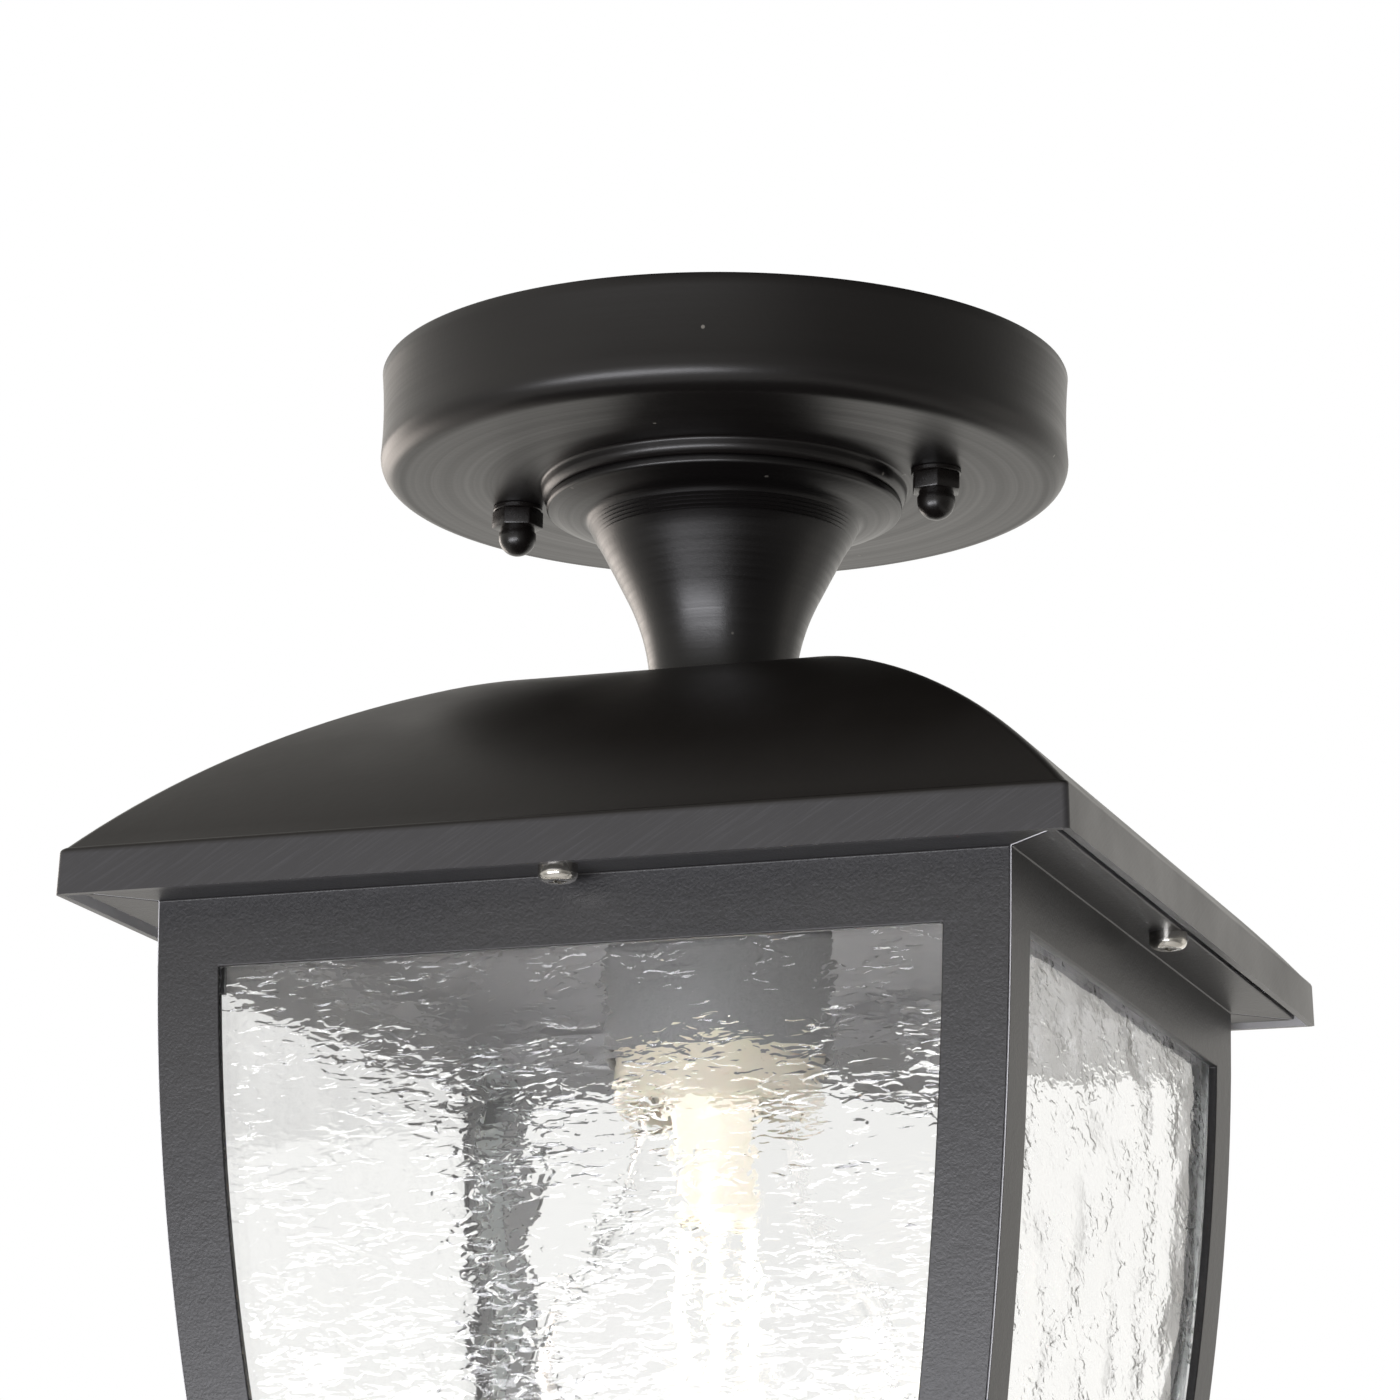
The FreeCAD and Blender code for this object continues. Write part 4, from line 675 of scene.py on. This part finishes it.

# %% [markdown]
# ## Side frames
#
# Each side of the cage is one sheet: a curved face with a window, a flange folded out at the
# top and a lip folded in at the foot. A grid gives the face its columns and rows, each point is
# moved onto the curve, and the middle is deleted for the window. Its sides are then cut on the
# diagonal planes, so that neighbouring frames meet in a mitre as the real ones do. The faces that
# look inward are a pale grey, which is painted light for the light that reaches the inside.

# %% The cage's curve
CAGE_TOP = -103.9
CAGE_HEIGHT = 176.0
TOP_HALF = 72.4
FOOT_HALF = 46.5
DRAW_IN = TOP_HALF - FOOT_HALF
SIDE_ARC = (CAGE_HEIGHT ** 2 + DRAW_IN ** 2) / (2 * DRAW_IN)


def half_at(depth, wall=0.0):
    """Half width of the cage at a depth below its top, wall millimetres behind the face."""
    return math.sqrt((SIDE_ARC - wall) ** 2 - depth ** 2) - (SIDE_ARC - TOP_HALF)


print("side curve radius %.1f mm, half width %.1f at mid height" % (SIDE_ARC, half_at(88)))


# %% Fold one side frame
FRAME_SHEET = 1.6
HEADER = 11.5  # from the cage's top to its window
WINDOW_HEIGHT = 153.0
WINDOW_STEPS = 28  # rows of faces that follow the curve
UPRIGHT = 11.1  # width of the strip beside the window
FLANGE_HALF = 81.8
LIP_HALF = 40.0  # the lip at the foot leaves an opening of twice this
MITRE_SPARE = 2.0  # extra width, which the diagonal cut takes off
MITRE_GAP = 0.14


def row_and_column(vertex, columns, rows):
    """Which column and row of a grid of size 1 a vertex is in."""
    return (round((vertex.co.x + 1) / 2 * columns), round((1 - vertex.co.y) / 2 * rows))


def side_frame(name, quarter, node):
    """One side of the cage, made at the front and turned by quarters."""
    window = [HEADER + WINDOW_HEIGHT * step / WINDOW_STEPS for step in range(1, WINDOW_STEPS + 1)]
    depths = [0.0, HEADER] + window + [CAGE_HEIGHT]
    rows = len(depths) - 1
    bm = bmesh.new()
    bmesh.ops.create_grid(bm, x_segments=3, y_segments=rows, size=1.0)
    middle = []
    for face in bm.faces:
        column = sorted({row_and_column(vertex, 3, rows)[0] for vertex in face.verts})
        row = sorted({row_and_column(vertex, 3, rows)[1] for vertex in face.verts})
        if column == [1, 2] and 1 <= row[0] < rows - 1:
            middle.append(face)
    seats = {vertex: row_and_column(vertex, 3, rows) for vertex in bm.verts}
    for vertex, (column, row) in seats.items():
        depth = depths[row]
        edge_at = half_at(depth) + MITRE_SPARE
        window_at = half_at(max(depth, HEADER)) - UPRIGHT
        across = (-edge_at, -window_at, window_at, edge_at)[column]
        vertex.co = Vector((across, -half_at(depth), CAGE_TOP - depth)) * MM
    top = [edge for edge in bm.edges if all(seats[vertex][1] == 0 for vertex in edge.verts)]
    foot = [edge for edge in bm.edges if all(seats[vertex][1] == rows for vertex in edge.verts)]
    bmesh.ops.delete(bm, geom=middle, context="FACES")
    for edges, reach, half in ((top, FLANGE_HALF, TOP_HALF), (foot, LIP_HALF, FOOT_HALF)):
        grown = bmesh.ops.extrude_edge_only(bm, edges=edges)["geom"]
        for vertex in (item for item in grown if isinstance(item, bmesh.types.BMVert)):
            vertex.co.y = -reach * MM
            if abs(vertex.co.x) > half * MM:
                vertex.co.x = math.copysign((reach + MITRE_SPARE) * MM, vertex.co.x)
    bmesh.ops.recalc_face_normals(bm, faces=bm.faces)
    outward = sum((face.normal.y * face.calc_area() for face in bm.faces), 0.0)
    if outward > 0:
        bmesh.ops.reverse_faces(bm, faces=bm.faces)
    bmesh.ops.solidify(bm, geom=bm.faces, thickness=FRAME_SHEET * MM)
    # Faces that look inward take the second slot, the pale grey painted light.
    for face in bm.faces:
        face.material_index = int(face.normal.y > 0.5)
    for side in (-1, 1):
        cut = bmesh.ops.bisect_plane(
            bm, geom=bm.verts[:] + bm.edges[:] + bm.faces[:], dist=1e-7,
            plane_co=(0, -MITRE_GAP * MM, 0), plane_no=(side, 1, 0), clear_outer=True)
        loop = [item for item in cut["geom_cut"] if isinstance(item, bmesh.types.BMEdge)]
        bmesh.ops.holes_fill(bm, edges=loop)
    bmesh.ops.recalc_face_normals(bm, faces=bm.faces)
    bmesh.ops.rotate(bm, cent=(0, 0, 0), matrix=Matrix.Rotation(math.radians(90 * quarter), 3, "Z"),
                     verts=bm.verts)
    piece = finish_piece(bm, name, cage_coat, "lantern", (node,), 60)
    piece.data.materials.append(inward_painted_light)
    return sheet_finish(piece, 0, 0.3)


SIDES = ("front", "right", "back", "left")
for quarter, side in enumerate(SIDES):
    side_frame(side + "_side_frame", quarter, side + "_frame")

# %% [markdown]
# ## Water glass
#
# The outer face of each pane swells in low waves, about 13 mm wide and 9 mm high, which stretch
# what is behind them and make a straight post look wavy. The swell is moved points of a fine
# grid, so it also shows where the pane is seen edge on, as bump would not. A second, flat grid is
# the inner face, and bridging their borders closes the pane.

# %% Bend and ripple the panes
PANE_TOP = 3.2  # below the cage's top
PANE_HEIGHT = 169.2
PANE_MARGIN = 7.5  # from the mitre to the pane's edge
OUTER_WALL = 1.95  # from the frame's outer face to the pane's outer face
INNER_WALL = 4.9  # from the frame's outer face to the pane's inner face


def pane_height(across, depth, seed, swell):
    """How far inward the outer face lies there, in millimetres, always a little."""
    long_wave = noise.noise(Vector((across / 13, depth / 9, seed)))
    short_wave = noise.noise(Vector((across / 7, depth / 4.2, seed + 7.3)))
    return 0.3 + swell * long_wave + 0.15 * swell * short_wave


def rippled_pane(name, quarter, node, glass, swell):
    """One bent pane, 3 mm thick, with its swell on the outer face."""
    columns, rows = 92, 118
    bm = bmesh.new()
    for wall_mm, rippled in ((OUTER_WALL, True), (INNER_WALL, False)):
        made = bmesh.ops.create_grid(bm, x_segments=columns, y_segments=rows, size=1.0)["verts"]
        for vertex in made:
            column, row = row_and_column(vertex, columns, rows)
            depth = PANE_TOP + PANE_HEIGHT * row / rows
            across = (half_at(depth) - PANE_MARGIN) * (2 * column / columns - 1)
            wall = wall_mm
            if rippled:
                wall += pane_height(across, depth, 3.1 * quarter, swell)
            vertex.co = Vector((across, -half_at(depth, wall), CAGE_TOP - depth)) * MM
    borders = [edge for edge in bm.edges if edge.is_boundary]
    bmesh.ops.bridge_loops(bm, edges=borders)
    bmesh.ops.recalc_face_normals(bm, faces=bm.faces)
    bmesh.ops.rotate(bm, cent=(0, 0, 0), matrix=Matrix.Rotation(math.radians(90 * quarter), 3, "Z"),
                     verts=bm.verts)
    return finish_piece(bm, name, glass, "lantern", (node,), 40)


PANES = {"front": (water_glass, 0.24), "right": (soft_glass, 0.24),
         "back": (calm_glass, 0.1), "left": (calm_glass, 0.1)}
for quarter, side in enumerate(SIDES):
    rippled_pane(side + "_rippled_pane", quarter, side + "_glass", *PANES[side])

# %% [markdown]
# ## Pieces kept from the drawings
#
# Straps, screws, nuts, clips and wires already have their true shape. A node's mesh is loose
# triangles, so a copy of it is merged, its flat faces are dissolved into whole ones and, where a
# width is given, its edges are broken with a small bevel. That takes the hard paper edge off cut
# and stamped metal.

# %% Soften the kept pieces
def softened(node, material, bevel_mm=0.0, crease=30, body="lantern"):
    """A cleaned copy of a node's own mesh, with its edges broken when a bevel width is given."""
    bm = bmesh.new()
    bm.from_mesh(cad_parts[node].data)
    bmesh.ops.remove_doubles(bm, verts=bm.verts, dist=2e-6)
    bmesh.ops.dissolve_limit(bm, angle_limit=math.radians(0.4), verts=bm.verts, edges=bm.edges)
    piece = finish_piece(bm, node + "_finished", material, body, (node,), crease)
    if bevel_mm:
        sheet_finish(piece, 0, bevel_mm)
    return piece


softened("box_strap", zinc_plate, 0.2, body="ceiling_strap")
softened("stud_strap", zinc_plate, 0.2)
softened("strap_lock_nuts", zinc_plate, 0.15)
softened("ground_screw", green_zinc, crease=35)
softened("canopy_nipple_nut", zinc_plate, 0.25)
softened("roof_nipple_nut", zinc_plate, 0.25)
softened("cup_upper_nut", zinc_plate, 0.2)
softened("cup_lower_nut", zinc_plate, 0.2)
softened("cage_screws", nickel_plate, crease=35)
softened("holder_screws", zinc_plate, crease=35)
# The screw tabs sit inside and take the pale grey painted light.
softened("screw_tabs", inward_painted_light, 0.2)
# The corner angles' pale coat is painted light, for how light they look through the glass.
softened("corner_angles", angle_coat_painted_light, crease=40)
softened("glass_clips", spring_steel, 0.1)
softened("centre_contact", nickel_plate, 0.08)
softened("line_lead", black_sleeve, crease=60)
softened("neutral_lead", white_sleeve, crease=60)
softened("lead_tips", copper_strand, crease=40)
softened("filament_supports", nickel_plate, crease=50, body="lamp")

# %% [markdown]
# ## Studs, nipple and eyelet
#
# Screw threads read as fine rings from any distance, so a thread here is a section with one
# ridge for each turn, spun round. That is light and closed, where a helix would need a start, a
# run-out and far more faces, and no eye tells the two apart on a screw this size.

# %% Threads
def thread_section(radius, low, high, pitch, depth):
    """The outside of a thread from low to high, as radius and height pairs."""
    turns = int((high - low) / pitch)
    points = []
    for turn in range(turns):
        height = low + pitch * turn
        points += [(radius - depth, height + 0.05), (radius, height + pitch * 0.42),
                   (radius, height + pitch * 0.58)]
    return points


bm = bmesh.new()
for centre in ((-38.8, 0), (38.8, 0)):
    head = arc((3.7, -1.8), (2.7, -0.8), 1.0, 1, 5)
    spin_section(bm, [(0.0, -25.4)] + thread_section(2.08, -25.35, -3.2, 0.79375, 0.3)
                 + [(2.08, -3.15), (3.7, -3.1)] + head + [(0.0, -0.8)], centre, 32)
finish_piece(bm, "threaded_studs", zinc_plate, "lantern", ("canopy_studs",), 40)

turned_piece("threaded_nipple", [(3.6, -84.0), (4.5, -84.0)]
             + thread_section(5.0, -83.9, -16.4, 1.0, 0.4)
             + [(4.6, -16.2), (3.6, -16.2)], zinc_plate, "lantern", ("nipple",),
             steps=40)
turned_piece("hollow_eyelet", [(5.0, -5.2), (5.2, -5.4)] + arc((7.9, -5.4), (7.9, -4.7), 0.35, 1, 4)
             + [(5.8, -4.7), (5.8, -1.5)] + arc((7.9, -1.5), (7.9, -0.8), 0.35, 1, 4)
             + [(5.2, -0.8), (5.0, -1.0)], zinc_plate, "ceiling_strap",
             ("swivel_eyelet",), steps=64)
for node, top in (("canopy_washer", -20.3), ("roof_washer", -58.3)):
    turned_piece(node + "_plate", [(5.1, top - 1.2), (8.3, top - 1.2), (8.5, top - 1.0),
                                   (8.5, top - 0.2), (8.3, top), (5.1, top)],
                 zinc_plate, "lantern", (node,), steps=64)

# %% [markdown]
# ## Lampholder
#
# A black steel cup hangs on the nipple, and the porcelain holder sits in it with its cream rim
# showing. Inside the porcelain is a screw shell of plated brass, rolled with the coarse round
# thread of a lamp, 3.63 mm to the turn.

# %% Cup, porcelain and screw shell
cup = ([(5.2, -79.4)] + arc((14.5, -79.4), (18.7, -83.6), 4.2, -1, 8)
       + [(18.7, -121.5), (19.1, -122.0), (19.4, -121.8), (19.5, -121.5)]
       + arc((19.5, -83.6), (14.5, -78.6), 5.0, 1, 10) + [(5.2, -78.6)])
# The cup is black steel; its mid grey coat is painted light.
turned_piece("holder_cup", cup, cup_coat_painted_light, "lantern", ("lampholder_cup",))

bm = bmesh.new()
spin_section(bm, [(0.0, -98.5), (14.6, -98.5), (14.6, -129.4)]
             + arc((15.2, -130.1), (18.0, -128.6), 1.7, 1, 8)
             + [(18.0, -92.0), (17.5, -91.5), (0.0, -91.5)])
for side in (-1, 1):
    spin_section(bm, [(1.55, -92.0), (3.6, -92.0), (3.6, -79.4), (1.55, -79.4)],
                 (10.8 * side, 0), 32)
finish_piece(bm, "porcelain_holder", ceramic_glaze, "lantern",
             ("lampholder",), 40)


def lamp_thread(crest, depth, low, high, pitch=3.629):
    """A rolled round thread, as radius and height pairs from low to high."""
    points = []
    steps = int((high - low) / pitch * 10)
    for step in range(steps + 1):
        height = low + (high - low) * step / steps
        swing = 0.5 + 0.5 * math.cos(2 * math.pi * (height - low) / pitch)
        points.append((crest - depth * (1 - swing), height))
    return points


shell_in = lamp_thread(13.85, 0.38, -127.6, -101.0)
shell = (shell_in[::-1] + [(13.8, -128.1), (14.3, -128.1)]
         + [(radius + 0.35, height) for radius, height in shell_in]
         + [(13.85, -98.5), (7.0, -98.5), (7.0, -98.9), (13.2, -98.9)])
turned_piece("threaded_shell", shell, nickel_plate, "lantern", ("screw_shell",),
             steps=72, crease=50)

# %% [markdown]
# ## Lamp
#
# The lamp is a clear bulb with four upright filaments round a glass post. The bulb has two
# skins 0.8 mm apart, because a solid ball of glass would act as a lens. The cap carries the same
# rolled thread as the shell it turns in.

# %% Cap, tip and bulb
cap_thread = lamp_thread(13.15, 0.5, -127.4, -110.0)
cap = ([(12.4, -128.6), (13.0, -128.6), (13.1, -128.2)] + cap_thread
       + arc((12.6, -109.0), (9.5, -106.0), 3.4, 1, 6) + [(9.1, -106.3), (12.3, -109.6)])
turned_piece("rolled_cap", cap, nickel_plate, "lamp", ("lamp_cap",), steps=72,
             crease=50)
turned_piece("vitrite_ring", [(0.0, -106.2), (9.1, -106.2), (9.5, -106.0), (5.2, -103.1),
                              (4.8, -103.0), (0.0, -103.0)], vitrite, "lamp",
             ("lamp_insulator",), steps=64)
turned_piece("solder_tip", [(0.0, -103.0)] + arc((4.0, -103.0), (3.0, -102.05), 1.1, 1, 5)
             + [(0.0, -102.0)], solder, "lamp_tip", ("lamp_contact",), steps=48)

BALL = 30.0
BALL_INSIDE = 29.2
BALL_CENTRE = -175.6
BULB_NECK = 13.3
bulb_rise = 175.6 - 129.6
neck_arc = (BULB_NECK ** 2 + bulb_rise ** 2 - BALL ** 2) / (2 * (BALL - BULB_NECK))
share = BALL / (BALL + neck_arc)
join = ((BULB_NECK + neck_arc) * share, BALL_CENTRE + bulb_rise * share)
inner_share = BALL_INSIDE / (BALL + neck_arc)
inner_join = ((BULB_NECK + neck_arc) * inner_share, BALL_CENTRE + bulb_rise * inner_share)
bulb = ([(0.0, -205.6)] + arc((0.01, -205.6), (BALL, BALL_CENTRE), BALL, 1, 20)
        + arc((BALL, BALL_CENTRE), join, BALL, 1, 8)[1:]
        + arc(join, (BULB_NECK, -129.6), neck_arc, -1, 14)[1:]
        + [(12.6, -128.4), (12.3, -127.8), (12.3, -122.6), (11.5, -122.6)]
        + arc((12.5, -129.6), inner_join, neck_arc + 0.8, 1, 14)
        + arc(inner_join, (BALL_INSIDE, BALL_CENTRE), BALL_INSIDE, -1, 8)[1:]
        + arc((BALL_INSIDE, BALL_CENTRE), (0.01, -204.8), BALL_INSIDE, -1, 20)[1:]
        + [(0.0, -204.8)])
turned_piece("blown_bulb", bulb, bulb_glass, "lamp", ("lamp_envelope",), steps=96,
             crease=50)
print("bulb shoulder arc %.1f mm" % neck_arc)

# %% Stem and filaments
stem = ([(0.0, -188.5)] + arc((0.01, -188.5), (1.6, -186.9), 1.6, 1, 5) + [(1.6, -151.9)]
        + arc((2.4, -151.2), (6.8, -148.1), 6.5, 1, 6) + [(6.8, -133.6)]
        + arc((6.8, -133.6), (11.6, -125.0), 11.0, -1, 8) + [(11.4, -124.6), (0.0, -124.6)])
turned_piece("pressed_stem", stem, stem_glass, "lamp", ("lamp_stem",), steps=64,
             crease=50)

FILAMENT_CIRCLE = 8.0
FIRST_FILAMENT = 64.3
bm = bmesh.new()
for number in range(4):
    angle = math.radians(FIRST_FILAMENT + 90 * number)
    stick = (arc((0.01, -186.0), (1.0, -185.0), 1.0, 1, 5)
             + arc((1.0, -153.0), (0.01, -152.0), 1.0, 1, 5))
    spin_section(bm, [(0.0, -186.0)] + stick + [(0.0, -152.0)],
                 (FILAMENT_CIRCLE * math.cos(angle), FILAMENT_CIRCLE * math.sin(angle)), 20)
finish_piece(bm, "filament_sticks", filament_glow, "lamp", ("lamp_filaments",), 50)

# %% [markdown]
# ## Light and floor
#
# The photograph is a product shot on white. The world is white to the camera and to rays that
# pass through glass. To paint and metal it is a studio that is brightest behind the lantern,
# softer in front, dim overhead and at the right, which a few ramps on the ray's direction give.
# In a world, the Generated output is that direction. The bright back lights the undersides, as a
# white backdrop does. Soft lamps at the left, the right and low in front make the long highlights
# on the neck and the cage's uprights. The floor is pale and well below, as the lantern hangs.

# %% White surroundings
LOW_FRONT = 0.45
HIGH_FRONT = 0.9
BACK_BRIGHT = 1.2
OVERHEAD_SHARE = 0.08
RIGHT_SHARE = 0.35
FLOOR_LEVEL = -1.3
scene = bpy.context.scene
scene.view_settings.view_transform = "Standard"
world = bpy.data.worlds.new("white_studio")
scene.world = world
world.use_nodes = True
tree = world.node_tree
tree.nodes.clear()
light_path = add_node(tree, "ShaderNodeLightPath")
seen = add_node(tree, "ShaderNodeMath", {
    0: light_path.outputs["Is Camera Ray"], 1: light_path.outputs["Is Transmission Ray"]},
    operation="MAXIMUM")
backdrop = add_node(tree, "ShaderNodeBackground", {"Color": linear("#ffffff"), "Strength": 1.0})
direction = add_node(tree, "ShaderNodeTexCoord").outputs["Generated"]
toward = add_node(tree, "ShaderNodeSeparateXYZ", {"Vector": direction})
from_front = ramp_between(tree, toward.outputs["Z"], -0.35, 0.15, LOW_FRONT, HIGH_FRONT)
from_behind = ramp_between(tree, toward.outputs["Y"], -0.3, 0.7, from_front, BACK_BRIGHT)
overhead = ramp_between(tree, toward.outputs["X"], -0.5, -0.25, 1.0, OVERHEAD_SHARE)
from_above = ramp_between(tree, toward.outputs["Z"], 0.3, 0.8, 1.0, overhead)
from_right = ramp_between(tree, toward.outputs["X"], 0.35, 0.75, 1.0, RIGHT_SHARE)
level = add_node(tree, "ShaderNodeMath", {0: from_behind, 1: from_above}, operation="MULTIPLY")
level = add_node(tree, "ShaderNodeMath", {0: level.outputs[0], 1: from_right},
                 operation="MULTIPLY")
ambient = add_node(tree, "ShaderNodeBackground", {
    "Color": linear("#f8f5ef"), "Strength": level.outputs[0]})
chosen = add_node(tree, "ShaderNodeMixShader", {
    0: seen.outputs[0], 1: ambient.outputs[0], 2: backdrop.outputs[0]})
add_node(tree, "ShaderNodeOutputWorld", {"Surface": chosen.outputs[0]})

bm = bmesh.new()
bmesh.ops.create_grid(bm, x_segments=8, y_segments=8, size=1.6,
                      matrix=Matrix.Translation((0, 0, FLOOR_LEVEL)))
mesh = bpy.data.meshes.new("studio_floor")
bm.to_mesh(mesh)
bm.free()
floor_paper, tree, surface = new_material(
    "matt_white_paper", Base_Color=linear("#f2f1ef"), Roughness=0.7, IOR=1.45)
mesh.materials.append(floor_paper)
floor = bpy.data.objects.new("studio_floor", mesh)
scene.collection.objects.link(floor)
print("floor at", FLOOR_LEVEL, "m")


# %% Soft lamps
def soft_lamp(name, place, target, size, watts, colour):
    """A rectangular softbox that faces the target."""
    lamp = bpy.data.lights.new(name, "AREA")
    lamp.shape = "RECTANGLE"
    lamp.size, lamp.size_y = size
    lamp.energy = watts
    lamp.color = linear(colour)[:3]
    holder = bpy.data.objects.new(name, lamp)
    holder.location = place
    holder.rotation_euler = (Vector(target) - Vector(place)).to_track_quat("-Z", "Y").to_euler()
    scene.collection.objects.link(holder)
    return holder


aim = (0, 0, -0.12)
soft_lamp("low_front_softbox", (-0.25, -1.38, -0.57), aim, (1.5, 0.35), 23.5, "#f9f9ff")
soft_lamp("right_softbox", (1.5, 0.9, -0.3), aim, (0.8, 1.2), 1.5, "#fff8f0")
soft_lamp("left_softbox", (-1.4, 0.9, -0.2), aim, (0.8, 1.2), 10, "#fff2e8")
print("three soft lamps")

# %% [markdown]
# ## Camera
#
# The camera stands low, in front and a little to the right, and looks up at the lantern. It is
# a long lens, which keeps the upright edges almost parallel, so the lantern's lower half runs
# out of the frame as it does in the photograph.

# %% Set up the camera
FOCAL_PIXELS = 5246.1
PICTURE_PIXELS = 1400
SENSOR = 36.0
STAND = (0.2881, -0.8359, -0.2816)
yaw, pitch, roll = (math.radians(angle) for angle in (19.27, 14.20, 0.55))
forward = Vector((-math.sin(yaw) * math.cos(pitch), math.cos(yaw) * math.cos(pitch),
                  math.sin(pitch)))
level_right = Vector((math.cos(yaw), math.sin(yaw), 0))
level_up = level_right.cross(forward)
right = level_right * math.cos(roll) + level_up * math.sin(roll)
up = level_up * math.cos(roll) - level_right * math.sin(roll)
camera_data = bpy.data.cameras.new("photo_camera")
camera_data.sensor_width = SENSOR
camera_data.lens = FOCAL_PIXELS * SENSOR / PICTURE_PIXELS
camera = bpy.data.objects.new("photo_camera", camera_data)
scene.collection.objects.link(camera)
camera.matrix_world = Matrix((
    (right.x, up.x, -forward.x, STAND[0]),
    (right.y, up.y, -forward.y, STAND[1]),
    (right.z, up.z, -forward.z, STAND[2]),
    (0, 0, 0, 1)))
scene.camera = camera
print("lens %.1f mm, %.2f m from the axis" % (camera_data.lens, math.hypot(*STAND[:2])))
